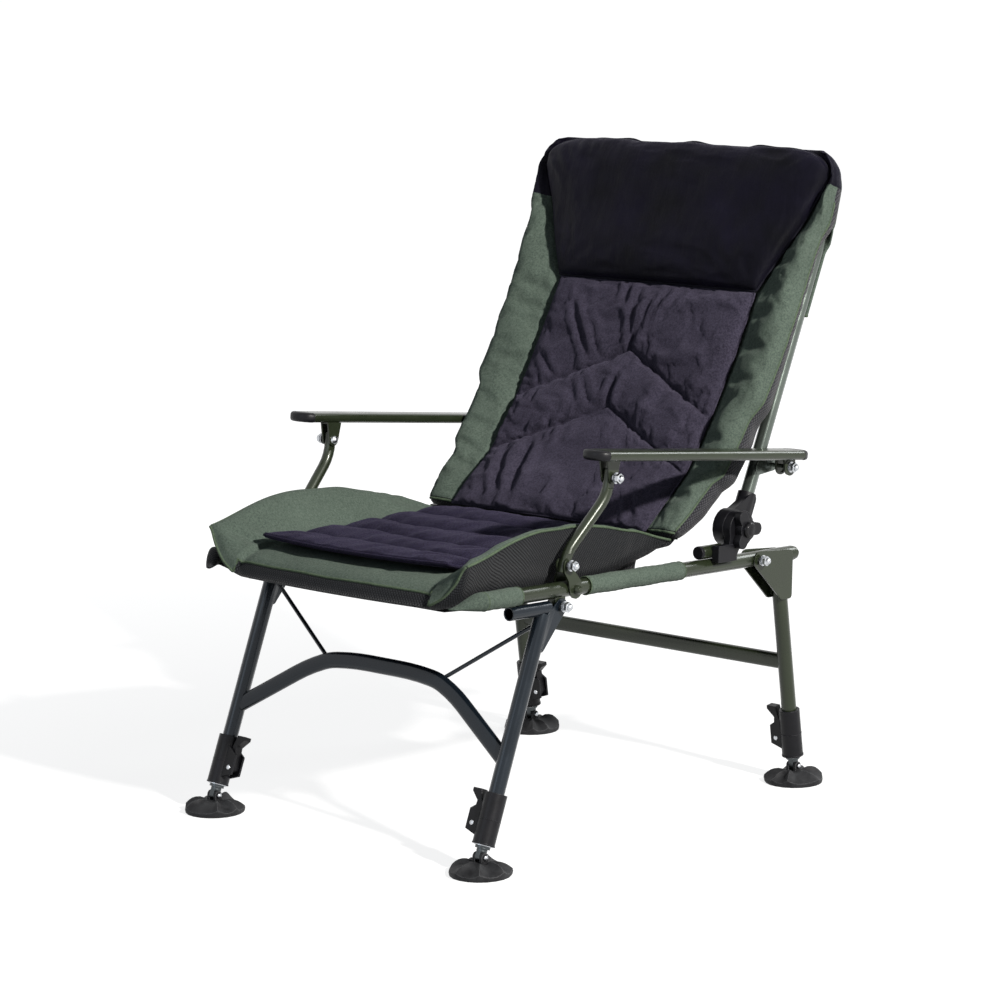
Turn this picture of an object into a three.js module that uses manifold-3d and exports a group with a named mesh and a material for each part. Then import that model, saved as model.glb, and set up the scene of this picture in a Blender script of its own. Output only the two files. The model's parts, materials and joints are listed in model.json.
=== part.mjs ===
// A carp fishing chair: a padded seat and back on a folding steel frame with four telescopic legs.
// Lengths are in millimetres and Z is up. The chair faces -Y and the sitter's left side is +X.
import * as THREE from "three";
import { mergeVertices } from "three/addons/utils/BufferGeometryUtils.js";
import Module from "manifold-3d";

const wasm = await Module();
wasm.setup();

const { degToRad: degrees, lerp, mapLinear } = THREE.MathUtils;

// Driving dimensions of the seat frame. Places along a rail count from its front end.
const railSpread = 520; // between the axes of the two rails
const railRearReach = 90; // behind the rear legs' pivot
const railHeight = 370.5; // of the rail's axis, at its front end
const railSlope = degrees(2.36); // down towards the back
const railDiameter = 22;
const tubeWall = 1.5;
const railTipLength = 11; // the domed rear end

// Clearances and small parts shared by the whole frame
const restGap = 0.4; // between pieces that touch or slide
const cutOverrun = 6;
const plateThickness = 2.5;
const boltDiameter = 8;
const boltHeadDiameter = 13;
const boltHeadHeight = 5;
const acornHeight = 9;
const boltDomeShare = 0.8; // the head's top, against its foot

// Pivots of the arm linkage and of the back, along the rail and above its axis
const stanchionPivotAlong = 156.8;
const stanchionPivotRise = 33.5;
const armPivotAlong = 234.1;
const armPivotRise = 147.8;
const armRearPivotAlong = 609;
const armRearPivotRise = 133.2;
const reclinePivotAlong = 513.3;
const reclinePivotRise = 51.2;

// Saddle that carries the stanchion on the rail
const saddleBoltAlong = 167;
const saddleRadius = 13; // of its cheeks, round the rail bolt
const saddleEyeRadius = 9; // round the stanchion's pivot
const saddleNeckRise = 21; // where the cheeks have closed in on the stanchion

// Stanchion, a bent rod with flattened ends
const stanchionDiameter = 16;
const stanchionFlat = 10; // thickness of the flattened ends
const stanchionFlatReach = 15; // of a flattened end, from its pivot
const stanchionTail = 11; // past each pivot
const stanchionOffset = 10; // its upper end stands this far outside the rail
const stanchionLeanShares = [0.7, 0.35, 0.2]; // at its tail, over its flats, and at its top
const stanchionBendShare = 1.4; // its upper bend is this much longer than the lower one

// Armrest, a flattened tube
const armWidth = 47;
const armThickness = 14;
const armInnerGap = 0.8; // between the back's tube and the armrest
const armWall = 1.5;
const armSlope = degrees(6.7);
const armRise = 24.8; // of the underside above its front pivot
const armFrontReach = 42; // in front of the front pivot
const armRearReach = 387; // behind it
const armBracketWidth = 28;
const armSlotDiameter = 20; // of the rear pivot's hole
const armRearCheekGap = 13;
const armRearCheekOffset = 3; // of the rear bracket, inwards from the armrest's middle
const armPlugNose = 17;
const armPlugSpigot = 14;
const armPlugBevel = 4;
const armPlugRoundShare = 0.33; // its rounding, against the armrest's width

// Front legs
const frontLegLean = degrees(22.3);
const frontPivotAlong = 144;
const frontPivotDrop = 21.1; // below the rail's axis
const frontLegSetback = 24.5; // the pivot lies this far behind the leg's axis
const frontLegTop = 18; // the tube ends this far below the pivot
const hangerThickness = 12;
const hangerRadius = 10;
const footPivotHeight = 24.5;
const legDiameter = 22;
const legStubDiameter = 19; // short tube under the rail, welded across the leg's top
const legStubStart = 47;
const legStubEnd = 126;
const legStubDrop = 22.5;
const gussetRadius = 11;
const gussetReach = 46; // down the leg
const gussetShoulderShare = 0.33; // how far its shoulder stands back, against the leg's width

// Flat-oval arch that joins the front legs, and its stay rods, below the front pivots
const archHeight = 24;
const archThickness = 12;
const archFootBelow = 219;
const archTopBelow = 127.5;
const archShoulderBelow = 147;
const archKneeBelow = 133;
const archShoulderSpread = 282;
const archKneeSpread = 208;
const archFlatSpread = 120;
const archShoulderBend = 26; // how far each bend reaches along the runs beside it
const archKneeBend = 12;
const archTopBend = 30;
const stayDiameter = 6;
const stayFootSpread = 211; // where its axis meets the arch's
const stayTopBelow = 28.3; // where its axis meets the leg's

// Rear legs
const rearLegLean = degrees(7.5);
const rearPivotAlong = 567;
const rearLegSetback = 54.4; // the pivot lies this far in front of the leg's axis
const rearLegTop = 46; // the tube ends this far below the pivot
const rearBracketBack = 76; // of its closed rear side, from the pivot
const rearBracketTop = 9;
const rearBracketFoot = 58; // below the pivot
const rearBracketNose = 13;
const crossbarBelow = 172;
const crossbarHeight = 24;
const crossbarThickness = 12;

// Telescopic lower legs: heights count from the foot's pivot
const sleeveTop = 87;
const sleeveLength = 71;
const sleeveDiameter = 31;
const legTubeEnd = 31;
const innerLegDiameter = 18;
const innerLegTop = 245;
const collarDiameter = 21;
const collarHeight = 4.5;
const stemDiameter = 15;
const tongueThickness = 8;
const tongueRadius = 6.4;
const footPinDiameter = 6;
const footDiameter = 84;
const footRim = 5;
const footCrown = 17; // of the dish above the ground
const footDishReachShares = [0.9, 0.34]; // where the dish changes its slope
const footDishRiseShares = [0.22, 0.94];
const clevisWidth = 17;
const leverPinInset = 22; // from the leg's axis
const leverPinBelow = 45; // the sleeve's top
const leverPinDiameter = 5;
const leverEarThickness = 3;
const leverGap = 13;
const leverEarReach = 31;
const leverEarTopBelow = 14;
const leverEarFootBelow = 60;
const leverTabReach = 37;

// Reclining joint: distances across it count outwards from the rail's axis
const reclineDiscDiameter = 54;
const reclineStubStart = 447;
const reclineStubEnd = 490;
const reclineStubDiameter = 19;
const reclineHalfSplit = 8.1; // where the two halves meet
const reclineOuterFace = 21.4;
const reclineInnerFace = 11; // inwards from the rail's axis
const reclineFootStart = 462;
const reclineFootEnd = 503;
const reclineFootLow = 7;
const reclineFootThickness = 12;
const reclineNeckDiameter = 27;
const reclineNeckFoot = 8;
const reclineNeckTop = 60;
const knobThickness = 11;
const knobLobeRadius = 9;
const knobLobeReach = 21;
const knobCoreRadius = 16;
const knobCapDiameter = 22;
const knobCapHeight = 7;
const knobCapTopShare = 0.6;
const plugLength = 9;

// Back frame. Places in the back count along its tubes, from the reclining pivot, and behind it.
const backLean = degrees(25.3);
const hoopDiameter = 20;
const hoopSpread = 500;
const hoopSetback = 28;
const hoopStart = 37.6;
const hoopBend = 462;
const hoopBendAngle = degrees(9);
const hoopTop = 552;
const hoopCornerRadius = 62;
const earThickness = 6;
const earRadius = 8;
const earPinDiameter = 6;
const earPinLength = 33;

// Seat upholstery. Heights count from the rail's axis.
const seatFront = -44; // the middle of the front edge
const seatCornerSetback = 19; // of the front corners
const seatRear = 398;
const seatTop = 21;
const seatBottom = -19;
const seatRearRise = 16.5; // the top stays level while the rails fall
const seatCreaseSpread = 366; // between the two creases where the wings turn up
const seatWingSpread = 496; // between the wings' outer edges
const seatWingTipRise = 47;
const seatWingRise = 83; // of the wing's highest point
const seatWingRearRise = 52;
const seatLipDepth = 58; // of the rounded front lip, backwards from the edge
const seatLipDrop = 27;
const matSpread = 354;
const matFront = -1;
const matCornerSetback = 17;
const matRear = 385;
const matThickness = 15;
const matSeam = 6.5; // thickness at a sewn channel
const matRim = 4;
const matChannels = 4;
const softGap = 0.6; // between soft pieces that lie on each other
const slingThickness = 2.2;
const slingFront = -4;
const slingRear = 402;
const slingNotchAhead = 71; // the sling leaves the rails free from here in front of the hanger
const slingNotchBehind = 21; // to here behind the saddle
const slingNotchGap = 9; // and stands this far inside the saddle's bolt
const slingSleeveWall = 1.2;
const slingFlatSpread = 380;

// Back upholstery
const backBottom = -46;
const backTop = 572;
const backFrontReach = 93; // the lower edge stands this far in front of the pivot
const backThickness = 43;
const backFootThickness = 31;
const backFootSpread = 476;
const backNeckTop = 44; // up to here the sides pass between the reclining joints
const backNeckSpread = 490;
const backWaistFoot = 66;
const backWaistTop = 430;
const backWaistSpread = 516; // between the armrests
const backShoulderFoot = 475;
const backShoulderTop = 520;
const backShoulderSpread = 566; // above them
const backHeadSpread = 524; // along the top edge
const backCreaseSpread = 384;
const backBolster = 13; // the side rolls stand proud by this
const backFootBolster = 8;
const backHeadBolster = 4;
const padSpread = 376;
const padBottom = -43;
const padTop = 356;
const padThickness = 15;
const padSeam = 5;
const padRim = 3;
const chevronDrop = 91;
const lowerChevron = 148; // the height of its point
const upperChevron = 240;
const pillowBottom = 362;
const pillowTop = 567;
const pillowInset = 3; // from the side rolls
const pillowHeadSpread = 544;
const pillowCrown = 37;
const pillowRim = 4;
const pocketBottom = 336;
const pocketThickness = 3;
const pocketWaistSpread = 514;
const pocketHeadSpread = 550;
const pocketWrap = 17; // the upper sides come forward by this

// How finely round things are cut
const tubeSides = 12;
const rodSides = 8;
const boltSides = 8;
const discSides = 20;
const cornerSteps = 2;
const rodBendSteps = 4;
const hoopBendSteps = 6;
const archBendSteps = 3;
const hoopSides = 10;
const hullSides = 12;

// Finishes
const finish = (color, roughness, metalness) =>
  new THREE.MeshStandardMaterial({ color, roughness, metalness });
const paint = finish(0x3d4a38, 0.35, 0.55);
const zinc = finish(0xc9ccd0, 0.3, 0.95);
const bareSteel = finish(0x6f7876, 0.35, 0.9);
const blackPlastic = finish(0x17181a, 0.45, 0);
const footRubber = finish(0x2a2c2e, 0.7, 0);
const greenFabric = finish(0x6a7c62, 0.85, 0);
const darkFabric = finish(0x2f2c3c, 0.9, 0);
const satin = finish(0x14142a, 0.5, 0);

// Points and unit vectors
const at = (x, y, z) => new THREE.Vector3(x, y, z);
const flat = (x, y) => new THREE.Vector2(x, y);
const mirrored = (shares) => [...shares.slice(1).reverse().map((share) => -share), ...shares];

// Solids, joins and cuts

function solidOf(geometry) {
  const bare = geometry.clone();
  bare.deleteAttribute("normal");
  bare.deleteAttribute("uv");
  const merged = mergeVertices(bare);
  const vertProperties = merged.attributes.position.array;
  const triVerts = new Uint32Array(merged.index.array);
  return new wasm.Manifold(new wasm.Mesh({ numProp: 3, vertProperties, triVerts }));
}

function geometryOf(solid) {
  const mesh = solid.getMesh();
  const geometry = new THREE.BufferGeometry();
  geometry.setAttribute("position", new THREE.BufferAttribute(new Float32Array(mesh.vertProperties), 3));
  geometry.setIndex(new THREE.BufferAttribute(new Uint32Array(mesh.triVerts), 1));
  const faceted = geometry.toNonIndexed();
  faceted.computeVertexNormals();
  return faceted;
}

const join = (...geometries) => geometryOf(geometries.map(solidOf).reduce((all, next) => all.add(next)));
const cut = (body, ...tools) =>
  geometryOf(tools.map(solidOf).reduce((left, tool) => left.subtract(tool), solidOf(body)));
const common = (one, other) => geometryOf(solidOf(one).intersect(solidOf(other)));

// Outlines

function circlePoints(diameter, sides) {
  const turn = (2 * Math.PI) / sides;
  const points = [];
  for (let i = 0; i < sides; i++) {
    const angle = turn * (i + 0.5);
    points.push(flat((Math.cos(angle) * diameter) / 2, (Math.sin(angle) * diameter) / 2));
  }
  return points;
}

const discShape = (diameter, sides) => new THREE.Shape(circlePoints(diameter, sides));

function ringShape(diameter, wall, sides) {
  const shape = discShape(diameter, sides);
  shape.holes.push(new THREE.Path(circlePoints(diameter - 2 * wall, sides)));
  return shape;
}

// A hole's corners stand far enough out for its flats to clear a round shaft.
const holeDiameter = (shaft, sides) => (shaft + 2 * restGap) / Math.cos(Math.PI / sides);

// The outline round some circles, each given as [x, y, radius].
function hullShape(...circles) {
  const points = circles.flatMap(([x, y, radius]) =>
    Array.from({ length: hullSides }, (_, i) => {
      const angle = (2 * Math.PI * i) / hullSides;
      return flat(x + radius * Math.cos(angle), y + radius * Math.sin(angle));
    })
  );
  points.sort((a, b) => a.x - b.x || a.y - b.y);
  const turnsLeft = (a, b, c) => (b.x - a.x) * (c.y - a.y) - (b.y - a.y) * (c.x - a.x) > 0;
  const chain = (list) => {
    const kept = [];
    for (const point of list) {
      while (kept.length > 1 && !turnsLeft(kept[kept.length - 2], kept[kept.length - 1], point)) kept.pop();
      kept.push(point);
    }
    return kept.slice(0, -1);
  };
  return new THREE.Shape([...chain(points), ...chain(points.slice().reverse())]);
}

// A flat oval, as wide as the first size and as high as the second.
function ovalShape(width, height) {
  const radius = Math.min(width, height) / 2;
  const x = width / 2 - radius;
  const y = height / 2 - radius;
  return hullShape([-x, -y, radius], [x, -y, radius], [x, y, radius], [-x, y, radius]);
}

function boxShape(x0, x1, y0, y1) {
  return new THREE.Shape([flat(x0, y0), flat(x1, y0), flat(x1, y1), flat(x0, y1)]);
}

// Prisms and tubes

const prism = (shape, depth) => new THREE.ExtrudeGeometry(shape, { depth, bevelEnabled: false, steps: 1 });

// A shape drawn in the plane seen from the side, (y, z), as a plate from x0 to x1.
function plate(shape, x0, x1) {
  const turn = new THREE.Matrix4().makeBasis(at(0, 1, 0), at(0, 0, 1), at(1, 0, 0));
  return prism(shape, x1 - x0).applyMatrix4(turn).translate(x0, 0, 0);
}

// A shape drawn in (z, x), as a plate from y0 to y1.
function crossPlate(shape, y0, y1) {
  const turn = new THREE.Matrix4().makeBasis(at(0, 0, 1), at(1, 0, 0), at(0, 1, 0));
  return prism(shape, y1 - y0).applyMatrix4(turn).translate(0, y0, 0);
}

function between(shape, from, to) {
  const span = to.clone().sub(from);
  const turn = new THREE.Quaternion().setFromUnitVectors(at(0, 0, 1), span.clone().normalize());
  return prism(shape, span.length()).applyQuaternion(turn).translate(from.x, from.y, from.z);
}

const bar = (from, to, diameter, sides = tubeSides) => between(discShape(diameter, sides), from, to);
const tube = (from, to, diameter, wall) => between(ringShape(diameter, wall, tubeSides), from, to);
const crossHole = (y, z, shaft, reach) =>
  bar(at(-reach, y, z), at(reach, y, z), holeDiameter(shaft, boltSides), boltSides);

// A path that turns only at its stations, so that straight runs cost one step.
class StationPath extends THREE.Curve {
  constructor(stations) {
    super();
    this.stations = stations;
    this.steps = stations.length - 1;
  }
  getPoint(share, target = new THREE.Vector3()) {
    const place = Math.min(Math.max(share, 0), 1) * this.steps;
    const i = Math.min(Math.floor(place), this.steps - 1);
    return target.lerpVectors(this.stations[i], this.stations[i + 1], place - i);
  }
  getPointAt(share, target) {
    return this.getPoint(share, target);
  }
  getTangentAt(share, target = new THREE.Vector3()) {
    const i = Math.round(share * this.steps);
    const before = this.stations[Math.max(i - 1, 0)];
    const here = this.stations[i];
    const after = this.stations[Math.min(i + 1, this.steps)];
    const inward = here.clone().sub(before).normalize();
    const outward = after.clone().sub(here).normalize();
    return target.copy(inward).add(outward).normalize();
  }
}

function swept(shape, stations) {
  const extrudePath = new StationPath(stations);
  return new THREE.ExtrudeGeometry(shape, { extrudePath, steps: extrudePath.steps, bevelEnabled: false });
}

// The points of a round corner, from one run to the next, without its corner point.
function rounded(before, corner, after, reach, steps) {
  const start = corner.clone().add(before.clone().sub(corner).setLength(reach));
  const end = corner.clone().add(after.clone().sub(corner).setLength(reach));
  return new THREE.QuadraticBezierCurve3(start, corner, end).getPoints(steps);
}

// A solid of revolution round X, from a profile of [distance along X, diameter] pairs.
function turned(profile, sides) {
  const first = profile[0][0];
  const last = profile[profile.length - 1][0];
  const points = [flat(0, first), ...profile.map(([x, diameter]) => flat(diameter / 2, x)), flat(0, last)];
  return new THREE.LatheGeometry(points, sides).rotateZ(-Math.PI / 2);
}

// A bolt along X: its head is at x0 and its domed nut at x1.
function bolt(x0, x1, y, z) {
  const profile = [
    [x0 - boltHeadHeight, boltHeadDiameter * boltDomeShare],
    [x0, boltHeadDiameter],
    [x0, boltDiameter],
    [x1, boltDiameter],
    [x1, boltHeadDiameter],
    [x1 + boltHeadHeight, boltHeadDiameter],
    [x1 + acornHeight, boltHeadDiameter / 2],
  ];
  return turned(profile, boltSides).translate(0, y, z);
}

// Soft forms

// A closed solid between a front and a back face, both given over the same rows and columns.
function cushion(columns, rows, front, back) {
  const positions = [];
  const index = [];
  const wide = columns.length;
  const long = rows.length;
  for (const face of [front, back])
    for (const row of rows) for (const column of columns) positions.push(...face(column, row).toArray());
  const place = (face, row, column) => (face * long + row) * wide + column;
  const quad = (a, b, c, d) => index.push(a, b, c, a, c, d);
  for (let r = 0; r < long - 1; r++)
    for (let c = 0; c < wide - 1; c++) {
      quad(place(0, r, c), place(0, r, c + 1), place(0, r + 1, c + 1), place(0, r + 1, c));
      quad(place(1, r, c), place(1, r + 1, c), place(1, r + 1, c + 1), place(1, r, c + 1));
    }
  for (let r = 0; r < long - 1; r++) {
    quad(place(0, r, 0), place(0, r + 1, 0), place(1, r + 1, 0), place(1, r, 0));
    const c = wide - 1;
    quad(place(0, r, c), place(1, r, c), place(1, r + 1, c), place(0, r + 1, c));
  }
  for (let c = 0; c < wide - 1; c++) {
    quad(place(0, 0, c), place(1, 0, c), place(1, 0, c + 1), place(0, 0, c + 1));
    const r = long - 1;
    quad(place(0, r, c), place(0, r, c + 1), place(1, r, c + 1), place(1, r, c));
  }
  const geometry = new THREE.BufferGeometry();
  geometry.setAttribute("position", new THREE.Float32BufferAttribute(positions, 3));
  geometry.setIndex(index);
  geometry.computeVertexNormals();
  return geometry;
}

// The value at a place, from a row of values at a row of places.
function valueAt(places, values, place) {
  const last = places.length - 1;
  if (place <= places[0]) return values[0];
  if (place >= places[last]) return values[last];
  const i = places.findIndex((next) => next > place) - 1;
  return mapLinear(place, places[i], places[i + 1], values[i], values[i + 1]);
}

// Frames of reference, each turned about X at its own place seen from the side

function sideFrame(y, z, tilt) {
  return new THREE.Matrix4().makeRotationX(tilt).setPosition(0, y, z);
}

const railFrame = sideFrame(0, railHeight, -railSlope);
const onRail = (along, rise) => at(0, along, rise).applyMatrix4(railFrame);

// A leg hangs from its pivot and stands on its foot's pivot, so its length follows from the heights.
function legFrame(pivot, lean, setback) {
  const reach = (pivot.z - footPivotHeight - setback * Math.sin(lean)) / Math.cos(lean);
  const footY = pivot.y - setback * Math.cos(lean) + reach * Math.sin(lean);
  return { frame: sideFrame(footY, footPivotHeight, lean), foot: footY, reach };
}

const frontPivot = onRail(frontPivotAlong, -frontPivotDrop);
const rearPivot = onRail(rearPivotAlong, 0);
const stanchionPivot = onRail(stanchionPivotAlong, stanchionPivotRise);
const armPivot = onRail(armPivotAlong, armPivotRise);
const armRearPivot = onRail(armRearPivotAlong, armRearPivotRise);
const reclinePivot = onRail(reclinePivotAlong, reclinePivotRise);
const frontLeg = legFrame(frontPivot, -frontLegLean, frontLegSetback);
const rearLeg = legFrame(rearPivot, rearLegLean, -rearLegSetback);
const armFrame = sideFrame(armPivot.y, armPivot.z, -armSlope);
const backFrame = sideFrame(reclinePivot.y, reclinePivot.z, -backLean);
const stanchionFrame = sideFrame(stanchionPivot.y, stanchionPivot.z, 0);

const inFrame = (frame, point) => point.clone().applyMatrix4(frame.clone().invert());
const fromTo = (source, target) => target.clone().invert().multiply(source);

// Seat rails and what is fixed to them

const railLength = rearPivotAlong + railRearReach;
const railTipShares = [0.5, 0.86, 0.5]; // how far back the dome's step lies, and its two diameters

function railGeometry() {
  const rear = at(0, railLength, 0);
  const tip = at(0, railLength + railTipLength, 0);
  const boreEnd = at(0, railLength - tubeWall, 0);
  const body = join(
    bar(at(0, 0, 0), rear, railDiameter),
    bar(boreEnd, rear.clone().lerp(tip, railTipShares[0]), railDiameter * railTipShares[1]),
    bar(boreEnd, tip, railDiameter * railTipShares[2]),
    plate(
      hullShape(
        [frontPivotAlong, -frontPivotDrop, hangerRadius],
        [frontPivotAlong, 0, hangerRadius]
      ),
      -hangerThickness / 2,
      hangerThickness / 2
    )
  );
  return cut(
    body,
    bar(at(0, -cutOverrun, 0), boreEnd, railDiameter - 2 * tubeWall),
    crossHole(frontPivotAlong, -frontPivotDrop, boltDiameter, railDiameter),
    crossHole(saddleBoltAlong, 0, boltDiameter, railDiameter),
    crossHole(rearPivotAlong, 0, boltDiameter, railDiameter)
  );
}

// A folded saddle: wide where it hugs the rail, narrow where it holds the stanchion.
function saddleGeometry() {
  const wide = railDiameter / 2 + restGap;
  const narrow = stanchionFlat / 2 + restGap;
  const foot = -saddleRadius - cutOverrun;
  const shoulder = railDiameter / 2 + restGap;
  const top = stanchionPivotRise + saddleEyeRadius + cutOverrun;
  const cheek = (side) => {
    const outline = [
      flat(foot, wide),
      flat(shoulder, wide),
      flat(saddleNeckRise + restGap, narrow),
      flat(top, narrow),
      flat(top, narrow + plateThickness),
      flat(saddleNeckRise + plateThickness, narrow + plateThickness),
      flat(shoulder + plateThickness / 2, wide + plateThickness),
      flat(foot, wide + plateThickness),
    ];
    return new THREE.Shape(outline.map((point) => flat(point.x, side * point.y)));
  };
  const reach = saddleRadius * 2;
  const [front, rear] = [stanchionPivotAlong - reach, saddleBoltAlong + reach];
  const outline = plate(
    hullShape(
      [saddleBoltAlong, 0, saddleRadius],
      [stanchionPivotAlong, stanchionPivotRise, saddleEyeRadius]
    ),
    -railDiameter,
    railDiameter
  );
  const cheeks = [1, -1].map((side) =>
    cut(
      common(crossPlate(cheek(side), front, rear), outline),
      crossHole(stanchionPivotAlong, stanchionPivotRise, boltDiameter, railDiameter)
    )
  );
  const outer = wide + plateThickness;
  return join(...cheeks, bolt(-outer, outer, saddleBoltAlong, 0));
}

const stanchionPivotBolt = () => {
  const outer = stanchionFlat / 2 + restGap + plateThickness + restGap;
  return bolt(-outer, outer, stanchionPivotAlong, stanchionPivotRise);
};

const stubRise = railDiameter / 2 + reclineStubDiameter / 2 + restGap;

function reclineStubGeometry() {
  const [front, rear] = [at(0, reclineStubStart, stubRise), at(0, reclineStubEnd, stubRise)];
  return tube(front, rear, reclineStubDiameter, tubeWall);
}

function reclinePlugGeometry() {
  const bore = reclineStubDiameter - 2 * tubeWall - 2 * restGap;
  const face = reclineStubStart - restGap;
  return join(
    bar(at(0, face - plugLength / 2, stubRise), at(0, face, stubRise), reclineStubDiameter),
    bar(at(0, face - restGap, stubRise), at(0, face + plugLength, stubRise), bore)
  );
}

function reclineLowerGeometry() {
  const stubSide = reclineStubDiameter / 2 + restGap;
  const disc = bar(
    at(reclineHalfSplit + restGap, reclinePivotAlong, reclinePivotRise),
    at(reclineOuterFace, reclinePivotAlong, reclinePivotRise),
    reclineDiscDiameter,
    discSides
  );
  const foot = plate(
    boxShape(reclineFootStart, reclineFootEnd, reclineFootLow, stubRise + stubSide),
    stubSide,
    stubSide + reclineFootThickness
  );
  const heel = reclineFootEnd - knobLobeRadius;
  const arm = plate(
    hullShape(
      [heel, reclineFootLow + knobLobeRadius, knobLobeRadius],
      [reclinePivotAlong - knobLobeRadius, reclinePivotRise - knobLobeRadius / 2, knobCoreRadius]
    ),
    stubSide,
    reclineOuterFace
  );
  const boltHole = crossHole(reclinePivotAlong, reclinePivotRise, boltDiameter, railSpread);
  return cut(join(disc, foot, arm), boltHole);
}

const bracketOuter = railDiameter / 2 + restGap + plateThickness;
const gussetInner = hangerThickness / 2 + restGap;

const frontPivotBolt = () => {
  const outer = gussetInner + plateThickness + restGap;
  return bolt(-outer, outer, frontPivotAlong, -frontPivotDrop);
};
const rearPivotBolt = () => bolt(-bracketOuter - restGap, bracketOuter + restGap, rearPivotAlong, 0);

// Front leg frame: two legs, their stubs and gussets, and the arch between them

function archStations() {
  const pivotUp = frontLeg.reach;
  const foot = at(railSpread / 2 - legDiameter / 4, 0, pivotUp - archFootBelow);
  const shoulder = at(archShoulderSpread / 2, 0, pivotUp - archShoulderBelow);
  const knee = at(archKneeSpread / 2, 0, pivotUp - archKneeBelow);
  const top = at(archFlatSpread / 2, 0, pivotUp - archTopBelow);
  const flip = (point) => at(-point.x, point.y, point.z);
  const half = [
    foot,
    ...rounded(foot, shoulder, knee, archShoulderBend, archBendSteps),
    ...rounded(shoulder, knee, top, archKneeBend, archBendSteps),
    ...rounded(knee, top, flip(top), archTopBend, archBendSteps),
  ];
  return [...half, ...half.slice().reverse().map(flip)];
}

function frontLegFrameGeometry() {
  const pivotUp = frontLeg.reach;
  const railInLeg = fromTo(railFrame, frontLeg.frame);
  const pieces = [];
  const cuts = [];
  for (const side of [1, -1]) {
    const x = (side * railSpread) / 2;
    const stub = [at(x, legStubStart, -legStubDrop), at(x, legStubEnd, -legStubDrop)];
    const stubFront = at(x, legStubStart - cutOverrun, -legStubDrop);
    const stubRear = at(x, legStubEnd + cutOverrun, -legStubDrop);
    const bore = legStubDiameter - 2 * tubeWall;
    const legBore = legDiameter - 2 * tubeWall;
    pieces.push(bar(...stub, legStubDiameter).applyMatrix4(railInLeg));
    pieces.push(bar(at(x, 0, legTubeEnd), at(x, 0, pivotUp - frontLegTop), legDiameter));
    cuts.push(bar(stubFront, stubRear, bore).applyMatrix4(railInLeg));
    const boreTop = pivotUp - frontLegTop - legStubDiameter;
    cuts.push(bar(at(x, 0, legTubeEnd - cutOverrun), at(x, 0, boreTop), legBore));
    const outline = hullShape(
      [frontLegSetback, pivotUp, gussetRadius],
      [legDiameter * gussetShoulderShare, pivotUp - frontLegTop, legDiameter / 4],
      [legDiameter / 4, pivotUp - frontLegTop - gussetReach, legDiameter / 4]
    );
    for (const cheek of [1, -1]) {
      const inner = x + cheek * gussetInner;
      const outer = inner + cheek * plateThickness;
      pieces.push(plate(outline, Math.min(inner, outer), Math.max(inner, outer)));
    }
    const hole = holeDiameter(boltDiameter, boltSides);
    const inner = at(x - railDiameter, frontLegSetback, pivotUp);
    const outer = at(x + railDiameter, frontLegSetback, pivotUp);
    cuts.push(bar(inner, outer, hole, boltSides));
  }
  const arch = swept(ovalShape(archThickness, archHeight), archStations());
  return cut(join(arch, ...pieces), ...cuts);
}

// A stay rod stands on the arch and braces the leg's inner side.
function stayGeometry() {
  const pivotUp = frontLeg.reach;
  const stations = archStations().reverse();
  const places = stations.map((point) => point.x);
  const heights = stations.map((point) => point.z);
  const foot = at(stayFootSpread / 2, 0, valueAt(places, heights, stayFootSpread / 2));
  const top = at(railSpread / 2, 0, pivotUp - stayTopBelow);
  const slack = 2 * restGap;
  const arch = swept(ovalShape(archThickness + slack, archHeight + slack), archStations());
  const leg = bar(at(railSpread / 2, 0, 0), at(railSpread / 2, 0, pivotUp), legDiameter + slack);
  return cut(bar(foot, top, stayDiameter, rodSides), arch, leg);
}

// Rear leg frame: two legs, their folded brackets and the crossbar

function rearLegFrameGeometry() {
  const pivotUp = rearLeg.reach;
  const railInLeg = fromTo(railFrame, rearLeg.frame);
  const pieces = [];
  const cuts = [];
  const legBore = legDiameter - 2 * tubeWall;
  const legRadius = legDiameter / 2;
  const legTop = pivotUp - rearLegTop;
  const back = rearPivotAlong + rearBracketBack;
  const outline = hullShape(
    [rearPivotAlong, 0, rearBracketNose],
    [back - rearBracketTop, 0, rearBracketTop],
    [back - legRadius / 2, -rearBracketFoot, legRadius / 2],
    [back - 2 * legRadius, -rearBracketFoot, legRadius / 2]
  );
  const front = rearPivotAlong - 2 * rearBracketNose;
  const under = -railDiameter / 2 - restGap;
  const inner = bracketOuter - plateThickness;
  for (const side of [1, -1]) {
    const x = (side * railSpread) / 2;
    const hollow = join(
      plate(boxShape(front, back + cutOverrun, under, railDiameter), x - inner, x + inner),
      plate(boxShape(front, back - plateThickness, under - 2 * rearBracketFoot, 0), x - inner, x + inner)
    );
    const bracket = cut(plate(outline, x - bracketOuter, x + bracketOuter), hollow);
    // The leg's top is welded between the cheeks.
    const weld = boxShape(-legRadius / 2, legRadius / 2, legTop - legDiameter, legTop);
    pieces.push(bracket.applyMatrix4(railInLeg));
    pieces.push(plate(weld, x - inner - restGap, x + inner + restGap));
    pieces.push(bar(at(x, 0, legTubeEnd), at(x, 0, legTop), legDiameter));
    cuts.push(bar(at(x, 0, legTubeEnd - cutOverrun), at(x, 0, legTop - legDiameter), legBore));
    const ends = [at(x - railDiameter, rearPivotAlong, 0), at(x + railDiameter, rearPivotAlong, 0)];
    cuts.push(bar(...ends, holeDiameter(boltDiameter, boltSides), boltSides).applyMatrix4(railInLeg));
  }
  const reach = railSpread / 2 - legRadius / 2;
  const crossbar = plate(ovalShape(crossbarThickness, crossbarHeight), -reach, reach);
  crossbar.translate(0, 0, pivotUp - crossbarBelow);
  return cut(join(...pieces, crossbar), ...cuts);
}

// Telescopic lower leg: sleeve, lever, inner leg and foot. Outwards is +X, so the lever is at -X.

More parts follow.
